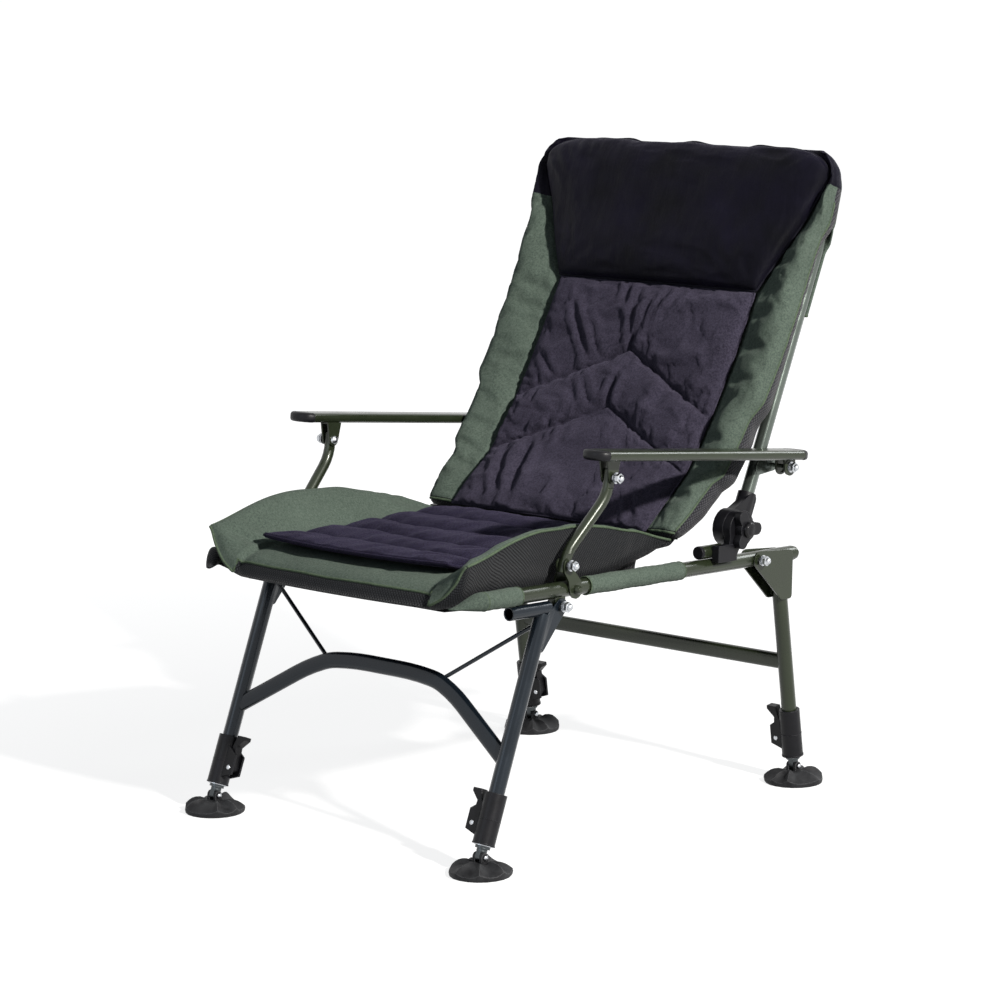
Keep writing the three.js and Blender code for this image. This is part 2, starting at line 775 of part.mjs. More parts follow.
const sleeveBottom = sleeveTop - sleeveLength;
const leverPinUp = sleeveTop - leverPinBelow;

function sleeveGeometry() {
  const top = at(0, 0, sleeveTop);
  const bottom = at(0, 0, sleeveBottom);
  const boreTop = at(0, 0, sleeveTop + cutOverrun);
  const earTop = sleeveTop - leverEarTopBelow;
  const earFoot = sleeveTop - leverEarFootBelow;
  const root = sleeveDiameter / 2 - leverEarThickness;
  const chamfer = leverEarThickness * 2;
  const ear = new THREE.Shape([
    flat(earFoot, -root),
    flat(earFoot + chamfer, -leverEarReach),
    flat(earTop - 2 * chamfer, -leverEarReach),
    flat(earTop, -root),
  ]);
  const outer = leverGap / 2 + leverEarThickness;
  const pinEnds = [at(-leverPinInset, -outer, leverPinUp), at(-leverPinInset, outer, leverPinUp)];
  const body = join(
    bar(bottom, top, sleeveDiameter),
    crossPlate(ear, leverGap / 2, outer),
    crossPlate(ear, -outer, -leverGap / 2),
    bar(...pinEnds, leverPinDiameter, boltSides)
  );
  return cut(
    body,
    bar(at(0, 0, sleeveBottom - cutOverrun), boreTop, innerLegDiameter + 2 * restGap),
    bar(at(0, 0, legTubeEnd - restGap), boreTop, legDiameter + 2 * restGap)
  );
}

function leverGeometry() {
  const half = leverGap / 2 - restGap;
  const eye = leverPinInset - sleeveDiameter / 2 - 2 * restGap;
  const near = sleeveDiameter / 2 + 4 * restGap;
  const tabTop = sleeveTop + plateThickness;
  const stemTop = sleeveTop - leverEarTopBelow;
  const arm = new THREE.Shape([
    flat(leverPinUp, -leverPinInset + eye),
    flat(leverPinUp, -leverPinInset - eye),
    flat(stemTop, -leverPinInset - eye / 2),
    flat(tabTop - 2 * plateThickness, -leverTabReach),
    flat(tabTop, -leverTabReach),
    flat(tabTop, -leverPinInset),
    flat(stemTop, -near),
  ]);
  const round = bar(
    at(-leverPinInset, -half, leverPinUp),
    at(-leverPinInset, half, leverPinUp),
    2 * eye,
    tubeSides
  );
  const hole = bar(
    at(-leverPinInset, -leverGap, leverPinUp),
    at(-leverPinInset, leverGap, leverPinUp),
    holeDiameter(leverPinDiameter, boltSides),
    boltSides
  );
  return cut(join(crossPlate(arm, -half, half), round), hole);
}

function innerLegGeometry() {
  const collarTop = sleeveBottom - restGap;
  const collarFoot = collarTop - collarHeight;
  const tongueTop = tongueRadius + restGap * 2;
  const tongue = hullShape([0, 0, tongueRadius], [0, tongueTop, tongueRadius]);
  const body = join(
    bar(at(0, 0, collarTop), at(0, 0, innerLegTop), innerLegDiameter),
    bar(at(0, 0, collarFoot), at(0, 0, collarTop), collarDiameter),
    bar(at(0, 0, tongueTop), at(0, 0, collarFoot), stemDiameter),
    plate(tongue, -tongueThickness / 2, tongueThickness / 2)
  );
  return cut(
    body,
    bar(at(0, 0, sleeveBottom), at(0, 0, innerLegTop + cutOverrun), innerLegDiameter - 2 * tubeWall),
    crossHole(0, 0, footPinDiameter, sleeveDiameter)
  );
}

function footGeometry() {
  const ground = -footPivotHeight;
  const rim = footDiameter / 2;
  const lip = ground + footRim;
  const crown = ground + footCrown;
  const profile = [
    flat(0, ground),
    flat(rim, ground),
    flat(rim, lip),
    ...footDishReachShares.map((share, i) => flat(rim * share, lerp(lip, crown, footDishRiseShares[i]))),
    flat(0, crown),
  ];
  const dish = new THREE.LatheGeometry(profile, discSides).rotateX(Math.PI / 2);
  const ear = hullShape([0, 0, tongueRadius], [0, crown, tongueRadius]);
  const clevis = plate(ear, -clevisWidth / 2, clevisWidth / 2);
  const gap = tongueThickness / 2 + restGap;
  const slotFloor = -tongueRadius - 2 * restGap;
  const slot = plate(boxShape(-footDiameter, footDiameter, slotFloor, footDiameter), -gap, gap);
  const pin = bar(at(-clevisWidth / 2, 0, 0), at(clevisWidth / 2, 0, 0), footPinDiameter, boltSides);
  return join(dish, cut(clevis, slot), pin);
}

// Armrest linkage. The left side is drawn, with X counted outwards from the rail's axis.

const hoopOuter = hoopSpread / 2 + hoopDiameter / 2;
const armCentre = hoopOuter + armInnerGap + armWidth / 2 - railSpread / 2;

function stanchionGeometry() {
  const span = armPivot.clone().sub(stanchionPivot);
  const [tailLeanShare, flatLeanShare, topLeanShare] = stanchionLeanShares;
  const lean = stanchionFlatReach * flatLeanShare;
  const tail = stanchionTail;
  const rise = stanchionFlatReach;
  const top = at(stanchionOffset, span.y, span.z);
  const runs = [
    at(0, -lean * tailLeanShare, -tail),
    at(0, lean, rise),
    at(stanchionOffset, span.y - lean * flatLeanShare, span.z - rise - stanchionDiameter / 2),
    at(stanchionOffset, span.y + lean * topLeanShare, span.z + tail),
  ];
  const stations = [
    runs[0],
    ...rounded(runs[0], runs[1], runs[2], rise, rodBendSteps),
    ...rounded(runs[1], runs[2], runs[3], rise * stanchionBendShare, rodBendSteps),
    runs[3],
  ];
  const rod = swept(discShape(stanchionDiameter, tubeSides), stations);
  const half = stanchionFlat / 2;
  const flats = [at(0, 0, 0), top].flatMap((pivot, i) => {
    const low = i ? -stanchionFlatReach : -tail - cutOverrun;
    const high = i ? tail + cutOverrun : stanchionFlatReach;
    const slab = boxShape(pivot.y - railDiameter, pivot.y + railDiameter, pivot.z + low, pivot.z + high);
    return [
      plate(slab, pivot.x + half, pivot.x + railDiameter),
      plate(slab, pivot.x - railDiameter, pivot.x - half),
    ];
  });
  const holes = [at(0, 0, 0), top].map((pivot) =>
    crossHole(pivot.y, pivot.z, boltDiameter, stanchionOffset + railDiameter)
  );
  return cut(rod, ...flats, ...holes);
}

// The rear bracket's middle, outwards from the rail's axis
const armRearCheekCentre = armCentre - armRearCheekOffset;

function armrestGeometry() {
  const middle = armRise + armThickness / 2;
  const shell = crossPlate(ovalShape(armThickness, armWidth), -armFrontReach, armRearReach);
  const boreShape = ovalShape(armThickness - 2 * armWall, armWidth - 2 * armWall);
  const bore = crossPlate(boreShape, -armFrontReach - cutOverrun, armRearReach + cutOverrun);
  const rear = inFrame(armFrame, armRearPivot);
  const half = armBracketWidth / 2;
  const corner = plateThickness / 2;
  const web = armRise - corner + armWall / 2;
  const slotRadius = armSlotDiameter / 2 + plateThickness;
  const pieces = [cut(shell, bore).translate(armCentre, 0, middle)];
  for (const [x, inner, eye, y0, y1] of [
    [stanchionOffset, stanchionFlat / 2 + restGap, [0, 0, saddleEyeRadius], -half, half],
    [armRearCheekCentre, armRearCheekGap / 2, [rear.y, rear.z, slotRadius], rear.y - half, armRearReach],
  ]) {
    const outer = inner + plateThickness;
    const shape = hullShape(eye, [y0 + corner, web, corner], [y1 - plateThickness, web, corner]);
    pieces.push(plate(shape, x + inner, x + outer));
    pieces.push(plate(shape, x - outer, x - inner));
    pieces.push(plate(boxShape(y0, y1 - plateThickness, web - corner, web + corner), x - outer, x + outer));
  }
  const slot = bar(at(0, rear.y, rear.z), at(armCentre * 2, rear.y, rear.z), armSlotDiameter);
  const hole = bar(at(0, 0, 0), at(armCentre, 0, 0), holeDiameter(boltDiameter, boltSides), boltSides);
  return cut(join(...pieces), slot, hole);
}

function armPlugGeometry(towards) {
  const bevel = armPlugBevel;
  const width = armWidth - 2 * bevel;
  const nose = armPlugNose - bevel;
  const round = armWidth * armPlugRoundShare;
  const plan = hullShape(
    [nose - round, round - width / 2, round],
    [nose - round, width / 2 - round, round],
    [-armPlugNose, -width / 2 + bevel, bevel],
    [-armPlugNose, width / 2 - bevel, bevel]
  );
  const solid = new THREE.ExtrudeGeometry(plan, {
    depth: armThickness - 2 * bevel,
    bevelThickness: bevel,
    bevelSize: bevel,
    bevelSegments: cornerSteps,
  });
  solid.translate(0, 0, bevel - armThickness / 2);
  const keep = prism(boxShape(0, armPlugNose * 2, -armWidth, armWidth), armThickness * 2);
  keep.translate(0, 0, -armThickness);
  const slack = 2 * armWall + 2 * restGap;
  const spigot = crossPlate(ovalShape(armThickness - slack, armWidth - slack), -armPlugSpigot, restGap);
  const head = common(solid, keep).rotateZ(Math.PI / 2);
  const plug = join(head, spigot);
  if (towards < 0) plug.rotateZ(Math.PI);
  const end = towards > 0 ? armRearReach + restGap : -armFrontReach - restGap;
  return plug.translate(armCentre, end, armRise + armThickness / 2);
}

const armPivotBolt = () => {
  const outer = stanchionFlat / 2 + restGap + plateThickness + restGap;
  return bolt(stanchionOffset - outer, stanchionOffset + outer, 0, 0);
};

// Back frame, in the frame of the back

// The hoop's axis, seen from the side: how far it lies behind the pivot at a height.
const hoopBehind = (up) => hoopSetback - Math.max(up - hoopBend, 0) * Math.tan(hoopBendAngle);

function hoopGeometry() {
  const side = (sign) => (sign * hoopSpread) / 2;
  const place = (x, up) => at(x, hoopBehind(up), up);
  const corner = (sign) => {
    const turn = place(side(sign), hoopTop);
    return rounded(place(side(sign), hoopBend), turn, place(0, hoopTop), hoopCornerRadius, hoopBendSteps);
  };
  const stations = [
    place(side(1), hoopStart),
    place(side(1), hoopBend),
    ...corner(1),
    ...corner(-1).reverse(),
    place(side(-1), hoopBend),
    place(side(-1), hoopStart),
  ];
  const hoop = swept(ringShape(hoopDiameter, tubeWall, hoopSides), stations);
  const rear = inFrame(backFrame, armRearPivot);
  const outline = hullShape(
    [hoopSetback, rear.z - 2 * earRadius, earRadius],
    [hoopSetback, rear.z - earRadius, earRadius],
    [rear.y, rear.z, earRadius]
  );
  const pieces = [hoop];
  for (const sign of [1, -1]) {
    const outer = sign * hoopOuter;
    const inner = sign * (hoopOuter - earThickness);
    const ear = plate(outline, Math.min(inner, outer), Math.max(inner, outer));
    const middle = side(sign);
    const bore = bar(
      at(middle, hoopSetback, rear.z - 4 * earRadius),
      at(middle, hoopSetback, rear.z + earRadius),
      hoopDiameter - tubeWall
    );
    pieces.push(cut(ear, bore));
    const pinEnd = outer + sign * earPinLength;
    pieces.push(bar(at(inner, rear.y, rear.z), at(pinEnd, rear.y, rear.z), earPinDiameter, boltSides));
  }
  return join(...pieces);
}

function reclineUpperGeometry() {
  const tubeX = hoopSpread / 2 - railSpread / 2;
  const [inner, outer] = [at(-reclineInnerFace, 0, 0), at(reclineHalfSplit - restGap, 0, 0)];
  const disc = bar(inner, outer, reclineDiscDiameter, discSides);
  const [foot, top] = [at(tubeX, hoopSetback, reclineNeckFoot), at(tubeX, hoopSetback, reclineNeckTop)];
  const neck = bar(foot, top, reclineNeckDiameter);
  const bridge = plate(
    hullShape(
      [0, reclineNeckFoot, knobCoreRadius],
      [hoopSetback, reclineNeckFoot + knobLobeRadius, knobLobeRadius],
      [hoopSetback, reclineNeckTop - knobLobeRadius, knobLobeRadius]
    ),
    -reclineInnerFace,
    reclineHalfSplit - reclineInnerFace / 2
  );
  const bore = hoopDiameter + 2 * restGap;
  return cut(
    join(disc, neck, bridge),
    bar(
      at(tubeX, hoopSetback, hoopStart - restGap),
      at(tubeX, hoopSetback, reclineNeckTop + cutOverrun),
      bore
    ),
    crossHole(0, 0, boltDiameter, railSpread)
  );
}

function knobGeometry() {
  const footFace = reclineStubDiameter / 2 + restGap + reclineFootThickness;
  const inner = Math.max(reclineOuterFace, footFace) + restGap;
  const outer = inner + knobThickness;
  const lobes = Array.from({ length: 3 }, (_, i) => {
    const angle = (2 * Math.PI * i) / 3;
    return plate(
      hullShape(
        [0, 0, knobLobeRadius],
        [knobLobeReach * Math.cos(angle), knobLobeReach * Math.sin(angle), knobLobeRadius]
      ),
      inner,
      outer
    );
  });
  const cap = turned(
    [
      [outer - restGap, knobCapDiameter],
      [outer + knobCapHeight / 2, knobCapDiameter],
      [outer + knobCapHeight, knobCapDiameter * knobCapTopShare],
    ],
    tubeSides
  );
  return join(
    ...lobes,
    bar(at(inner, 0, 0), at(outer, 0, 0), 2 * knobCoreRadius),
    cap,
    bar(at(-reclineInnerFace, 0, 0), at(outer, 0, 0), boltDiameter, boltSides)
  );
}

// Seat upholstery, in the frame of the rails

const seatSurface = (along) => seatTop + (seatRearRise * along) / seatRear;
const seatFrontAt = (x) => seatFront + seatCornerSetback * ((2 * x) / seatWingSpread) ** 2;

// Half a row of the seat, from the middle outwards: the flat part, then the wing. Where the wing's
// two faces lie is given as shares of its width and of its height.
const seatFlatShares = [0, 0.5, 1];
const wingTopWidthShares = [0.2, 0.48, 0.74, 0.87];
const wingTopHeightShares = [0.1, 0.45, 0.86, 1];
const wingUnderWidthShares = [0.1, 0.5, 0.8, 1];
const wingUnderHeightShares = [0, 0.08, 0.32, 0.93];
const wingRowShares = [0.05, 0.4, 0.56, 1];
const seatRowShares = [0, 0.012, 0.04, 0.08, 0.135, 0.2, 0.29, 0.38, 0.48, 0.58, 0.68, 0.78, 0.88, 0.97, 1];
const closingShares = [0.42, 0.2, 0.05];

function wingRiseAt(along) {
  const share = (along - seatFront) / (seatRear - seatFront);
  return valueAt(wingRowShares, [seatWingTipRise, seatWingRise, seatWingRise, seatWingRearRise], share);
}

// How far two faces have drawn together near an end, from the row's number.
function closingShare(row, rows) {
  return closingShares[Math.min(row, rows - 1 - row)] ?? 0;
}

function seatMattressGeometry() {
  const count = seatFlatShares.length + wingTopWidthShares.length;
  const columns = mirrored(Array.from({ length: count }, (_, i) => i));
  const crease = seatCreaseSpread / 2;
  const wing = (seatWingSpread - seatCreaseSpread) / 2;
  const point = (column, row, upper) => {
    const i = Math.abs(column);
    const side = Math.sign(column);
    const inWing = i - seatFlatShares.length;
    const widthShares = upper ? wingTopWidthShares : wingUnderWidthShares;
    const heightShares = upper ? wingTopHeightShares : wingUnderHeightShares;
    const x = inWing < 0 ? crease * seatFlatShares[i] : crease + wing * widthShares[inWing];
    const front = seatFrontAt(x);
    const y = lerp(front, seatRear, seatRowShares[row]);
    const inLip = Math.max(0, 1 - (y - front) / seatLipDepth);
    const drop = seatLipDrop * (1 - Math.sqrt(1 - inLip ** 2));
    const foot = upper ? seatSurface(y) - drop : seatBottom;
    const z = inWing < 0 ? foot : lerp(foot, wingRiseAt(y), heightShares[inWing]);
    return at(side * x, y, z);
  };
  const face = (upper) => (column, row) => {
    const share = closingShare(row, seatRowShares.length) / 2;
    return point(column, row, upper).lerp(point(column, row, !upper), share);
  };
  const rows = seatRowShares.map((_, row) => row);
  return cushion(columns, rows, face(true), face(false));
}

// How full a padded panel is at a share of the way from its middle to its edge.
const fullness = (share) => Math.sqrt(Math.max(0, 1 - Math.abs(share) ** 5));

// How full a roll between two seams is at a share of the way across it.
const roll = (share) => Math.sqrt(Math.sin(Math.PI * share));

const panelColumnShares = [0, 0.35, 0.66, 0.87, 0.97, 1];
const matRollShares = [0, 0.14, 0.5, 0.86];

function seatMatGeometry() {
  const columns = mirrored(panelColumnShares);
  const rolls = matChannels + 1;
  const rows = [];
  for (let i = 0; i < rolls; i++) rows.push(...matRollShares.map((share) => i + share));
  rows.push(rolls);
  const place = (column, row) => {
    const front = matFront + matCornerSetback * column ** 2;
    const y = lerp(front, matRear, row / rolls);
    return at((column * matSpread) / 2, y, seatSurface(y) + softGap);
  };
  const upper = (column, row) => {
    const seam = row > 0 && row < rolls ? matSeam : matRim;
    const height = lerp(seam, matThickness, roll(row % 1));
    const rise = lerp(matRim, height, fullness(column));
    return place(column, row).add(at(0, 0, rise));
  };
  return cushion(columns, rows, upper, place);
}

// The sling hangs between the rails on two sleeves a side, with a free stretch between them.
const slingNotchFront = frontPivotAlong - hangerRadius - slingNotchAhead;
const slingNotchRear = saddleBoltAlong + saddleRadius + slingNotchBehind;
const slingNotchEdge = railSpread / 2 - bracketOuter - boltHeadHeight - slingNotchGap;
const slingCatchShares = [0.6, 0.72]; // where it meets the sleeve, inwards and down

function slingGeometry() {
  const sleeveOuter = railDiameter / 2 + restGap + slingSleeveWall;
  const flatX = slingFlatSpread / 2;
  const top = seatBottom - softGap;
  const catchX = railSpread / 2 - sleeveOuter * slingCatchShares[0];
  const catchTop = slingThickness / 2 - sleeveOuter * slingCatchShares[1];
  const sheet = (edge) => {
    const edgeTop = mapLinear(edge, flatX, catchX, top, catchTop);
    const upper = [flat(edgeTop, -edge), flat(top, -flatX), flat(top, flatX), flat(edgeTop, edge)];
    const under = upper.map((point) => flat(point.x - slingThickness, point.y)).reverse();
    return new THREE.Shape([...upper, ...under]);
  };
  const pieces = [crossPlate(sheet(slingNotchEdge), slingFront, slingRear)];
  const bores = [];
  for (const [from, to] of [
    [slingFront, slingNotchFront],
    [slingNotchRear, slingRear],
  ]) {
    pieces.push(crossPlate(sheet(catchX), from, to));
    for (const side of [1, -1]) {
      const x = (side * railSpread) / 2;
      const bore = railDiameter + 2 * restGap;
      pieces.push(bar(at(x, from, 0), at(x, to, 0), 2 * sleeveOuter));
      bores.push(bar(at(x, from - cutOverrun, 0), at(x, to + cutOverrun, 0), bore));
    }
  }
  return cut(join(...pieces), ...bores);
}

// Back upholstery, in the frame of the back

const backPlaceShares = [0, 0.075, 0.173, 0.322, 0.521, 0.64];
const backReachShares = [1, 0.753, 0.441, 0.226, 0.065, 0.032];
const backUpShare = (up) => (up - backBottom) / (backTop - backBottom);

// How far the back has bent forwards at a height, as its tubes do.
const backBend = (up) => Math.max(up - hoopBend, 0) * Math.tan(hoopBendAngle);

const backCurve = (up) =>
  -backFrontReach * valueAt(backPlaceShares, backReachShares, backUpShare(up)) - backBend(up);

const backRowShares = [0.24, 0.32, 0.42, 0.52, 0.61];
const backRows = [
  backBottom,
  padBottom + backBolster,
  0,
  backNeckTop / 2,
  backNeckTop,
  backWaistFoot,
  ...backRowShares.map((share) => lerp(backBottom, backTop, share)),
  padTop,
  (padTop + backWaistTop) / 2,
  backWaistTop,
  backShoulderFoot,
  backShoulderTop,
  hoopTop,
  backTop,
];

// The middle of the back's front face, flat from one of its rows to the next
const backFrontAt = (up) => valueAt(backRows, backRows.map(backCurve), up);

function backRearAt(up) {
  const thickness = valueAt([backBottom, 0], [backFootThickness, backThickness], up);
  const tubeFront = hoopBehind(up) - hoopDiameter / 2 - softGap;
  return Math.min(backFrontAt(up) + thickness, tubeFront);
}

const backWidths = [
  [backBottom, backFootSpread],
  [0, backNeckSpread],
  [backNeckTop, backNeckSpread],
  [backWaistFoot, backWaistSpread],
  [backWaistTop, backWaistSpread],
  [backShoulderFoot, backShoulderSpread],
  [backShoulderTop, backShoulderSpread],
  [backTop, backHeadSpread],
];
const spreadAt = (widths, up) =>
  valueAt(
    widths.map(([place]) => place),
    widths.map(([, spread]) => spread),
    up
  );
const backHalfWidth = (up) => spreadAt(backWidths, up) / 2;

// The side rolls narrow upwards, where the pillow takes up the width.
function creaseHalfWidth(up) {
  const crease = valueAt([padTop, backShoulderTop], [backCreaseSpread / 2, pillowHeadSpread / 2], up);
  return Math.min(crease, backHalfWidth(up) - backBolster / 2);
}

const backFlatShares = [0, 0.5, 1];
const bolsterWidthShares = [0.22, 0.55, 0.85, 1];
const bolsterFrontShares = [0.7, 1, 0.75, 0.2];
const bolsterRearShares = [0, 0.1, 0.5, 1];

function backMattressGeometry() {
  const count = backFlatShares.length + bolsterWidthShares.length;
  const columns = mirrored(Array.from({ length: count }, (_, i) => i));
  const rows = backRows.map((_, row) => row);
  const point = (column, row, ahead) => {
    const up = backRows[row];
    const i = Math.abs(column);
    const side = Math.sign(column);
    const inRoll = i - backFlatShares.length;
    const crease = creaseHalfWidth(up);
    const base = ahead ? backFrontAt(up) : backRearAt(up);
    if (inRoll < 0) return at(side * crease * backFlatShares[i], base, up);
    const x = lerp(crease, backHalfWidth(up), bolsterWidthShares[inRoll]);
    const heights = [backFootBolster, backBolster, backBolster, backHeadBolster];
    const proud = valueAt([backBottom, backCreaseSpread / 2, padTop, backTop], heights, up);
    const shares = ahead ? bolsterFrontShares : bolsterRearShares;
    return at(side * x, base - proud * shares[inRoll], up);
  };
  const face = (ahead) => (column, row) => {
    const share = closingShare(row, backRows.length) / 2;
    return point(column, row, ahead).lerp(point(column, row, !ahead), share);
  };
  return cushion(columns, rows, face(true), face(false));
}

const padRollShares = [0, 0.07, 0.22, 0.5, 0.78, 0.93];

// Rows of the pad bend down at the sides into two chevrons.
function backPadGeometry() {
  const columns = mirrored(panelColumnShares);
  const middles = [padBottom, lowerChevron, upperChevron, padTop];
  const drops = [0, chevronDrop, chevronDrop, 0];
  const seams = middles.map((_, i) => i);
  const rolls = middles.length - 1;
  const rows = [];
  for (let i = 0; i < rolls; i++) rows.push(...padRollShares.map((share) => i + share));
  rows.push(rolls);
  const place = (column, row) => {
    const up = valueAt(seams, middles, row) - valueAt(seams, drops, row) * Math.abs(column);
    return at((column * padSpread) / 2, backFrontAt(up) - softGap, up);
  };
  const front = (column, row) => {
    const seam = row > 0 && row < rolls ? padSeam : padRim;
    const height = lerp(seam, padThickness, roll(row % 1));
    const rise = lerp(padRim, height, fullness(column));
    return place(column, row).sub(at(0, rise, 0));
  };
  return cushion(columns, rows, front, place);
}

const pillowRowShares = [0, 0.03, 0.12, 0.3, 0.5, 0.7, 0.86, 0.95, 1];

function pillowGeometry() {
  const columns = mirrored(panelColumnShares);
  const place = (column, row) => {
    const up = lerp(pillowBottom, pillowTop, row);
    const half = creaseHalfWidth(up) - pillowInset;
    return at(column * half, backFrontAt(up) - softGap, up);
  };
  const front = (column, row) => {
    const share = fullness(column) * fullness(2 * row - 1);
    return place(column, row).sub(at(0, lerp(pillowRim, pillowCrown, share), 0));
  };
  return cushion(columns, pillowRowShares, front, place);
}

// The pocket's panel lies behind the tubes, and its upper sides wrap round them.
const pocketColumnShares = [0, 0.5, 0.9, 0.955, 1];
const pocketWidths = [
  [pocketBottom, pocketWaistSpread],
  [backWaistTop, pocketWaistSpread],
  [backShoulderFoot, pocketHeadSpread],
  [backShoulderTop, pocketHeadSpread],
  [backTop, backHeadSpread],
];

function rearPocketGeometry() {
  const columns = mirrored(pocketColumnShares);
  const flare = (backWaistTop + backShoulderFoot) / 2;
  const ups = [...pocketWidths.map(([place]) => place), flare, hoopTop].sort((a, b) => a - b);
  const face = (depth) => (column, up) => {
    const half = spreadAt(pocketWidths, up) / 2;
    const wrap = up > flare && Math.abs(column) === 1 ? pocketWrap : 0;
    const behind = hoopBehind(up) + hoopDiameter / 2 + softGap;
    return at(column * half, behind + depth - wrap, up);
  };
  return cushion(columns, ups, face(0), face(pocketThickness));
}

// The chair: each piece hangs in the group of the part that carries it.

const chair = new THREE.Group();
const whole = new THREE.Group();
chair.add(whole);

function groupIn(parent, frame) {
  const group = new THREE.Group();
  group.applyMatrix4(frame);
  parent.add(group);
  return group;
}

// A group on one side of the chair, in which X counts outwards from the rail's axis.
function sideGroup(parent, side) {
  const group = new THREE.Group();
  group.position.x = (side * railSpread) / 2;
  group.scale.x = side;
  parent.add(group);
  return group;
}

function addPiece(group, name, geometry, material) {
  const mesh = new THREE.Mesh(geometry, material.clone());
  mesh.name = name;
  group.add(mesh);
}

const railGroup = groupIn(whole, railFrame);
const backGroup = groupIn(whole, backFrame);
const armGroup = groupIn(whole, armFrame);
const stanchionGroup = groupIn(whole, stanchionFrame);
const frontLegGroup = groupIn(whole, frontLeg.frame);
const rearLegGroup = groupIn(whole, rearLeg.frame);
const knobGroup = groupIn(railGroup, sideFrame(reclinePivotAlong, reclinePivotRise, 0));

const sidePieces = [
  [railGroup, "seat_rail", railGeometry(), paint],
  [railGroup, "arm_saddle", saddleGeometry(), paint],
  [railGroup, "arm_lower_bolt", stanchionPivotBolt(), zinc],
  [railGroup, "recline_stub", reclineStubGeometry(), paint],
  [railGroup, "recline_stub_plug", reclinePlugGeometry(), blackPlastic],
  [railGroup, "recline_lower_half", reclineLowerGeometry(), blackPlastic],
  [railGroup, "front_leg_bolt", frontPivotBolt(), zinc],
  [railGroup, "rear_leg_bolt", rearPivotBolt(), zinc],
  [knobGroup, "recline_knob", knobGeometry(), blackPlastic],
  [backGroup, "recline_upper_half", reclineUpperGeometry(), blackPlastic],
  [stanchionGroup, "stanchion", stanchionGeometry(), paint],
  [armGroup, "armrest", armrestGeometry(), paint],
  [armGroup, "arm_upper_bolt", armPivotBolt(), zinc],
  [armGroup, "armrest_front_plug", armPlugGeometry(-1), blackPlastic],
  [armGroup, "armrest_rear_plug", armPlugGeometry(1), blackPlastic],
];
for (const [sideName, side] of [
  ["left", 1],
  ["right", -1],
]) {
  for (const [parent, name, geometry, material] of sidePieces)
    addPiece(sideGroup(parent, side), `${name}_${sideName}`, geometry, material);
  for (const [legName, leg, legGroup] of [
    ["front", frontLeg, frontLegGroup],
    ["rear", rearLeg, rearLegGroup],
  ]) {
    const unit = sideGroup(legGroup, side);
    const ankle = sideGroup(groupIn(whole, sideFrame(leg.foot, footPivotHeight, 0)), side);
    const ending = `${legName}_${sideName}`;
    addPiece(unit, `leg_sleeve_${ending}`, sleeveGeometry(), blackPlastic);
    addPiece(unit, `leg_lever_${ending}`, leverGeometry(), blackPlastic);
    addPiece(unit, `inner_leg_${ending}`, innerLegGeometry(), bareSteel);
    addPiece(ankle, `mud_foot_${ending}`, footGeometry(), footRubber);
  }
  const stay = new THREE.Group();
  stay.scale.x = side;
  frontLegGroup.add(stay);
  addPiece(stay, `leg_stay_${sideName}`, stayGeometry(), paint);
}
addPiece(railGroup, "seat_sling", slingGeometry(), darkFabric);
addPiece(railGroup, "seat_mattress", seatMattressGeometry(), greenFabric);
addPiece(railGroup, "seat_mat", seatMatGeometry(), darkFabric);
addPiece(backGroup, "back_hoop", hoopGeometry(), paint);
addPiece(backGroup, "back_mattress", backMattressGeometry(), greenFabric);
addPiece(backGroup, "back_pad", backPadGeometry(), darkFabric);
addPiece(backGroup, "headrest_pillow", pillowGeometry(), satin);
addPiece(backGroup, "rear_pocket", rearPocketGeometry(), greenFabric);
addPiece(frontLegGroup, "front_leg_frame", frontLegFrameGeometry(), paint);
addPiece(rearLegGroup, "rear_leg_frame", rearLegFrameGeometry(), paint);

// The origin lies on the ground, under the middle of the chair.
const box = new THREE.Box3().setFromObject(chair, true);
whole.position.set(-(box.min.x + box.max.x) / 2, -(box.min.y + box.max.y) / 2, -box.min.z);
chair.updateMatrixWorld(true);

export default chair;
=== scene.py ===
# %% [markdown]
# # A carp fishing chair, dressed for its picture
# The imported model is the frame: steel tubes, joints, bolts and feet stay as they are and get
# their finishes. The soft parts are made again here as sewn cloth, each in the space that its
# plain solid holds. Lengths are in metres, the chair faces -Y and Z is up.

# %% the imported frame
import json
import math

import bmesh
import bpy
import numpy as np
from mathutils import Matrix, Vector

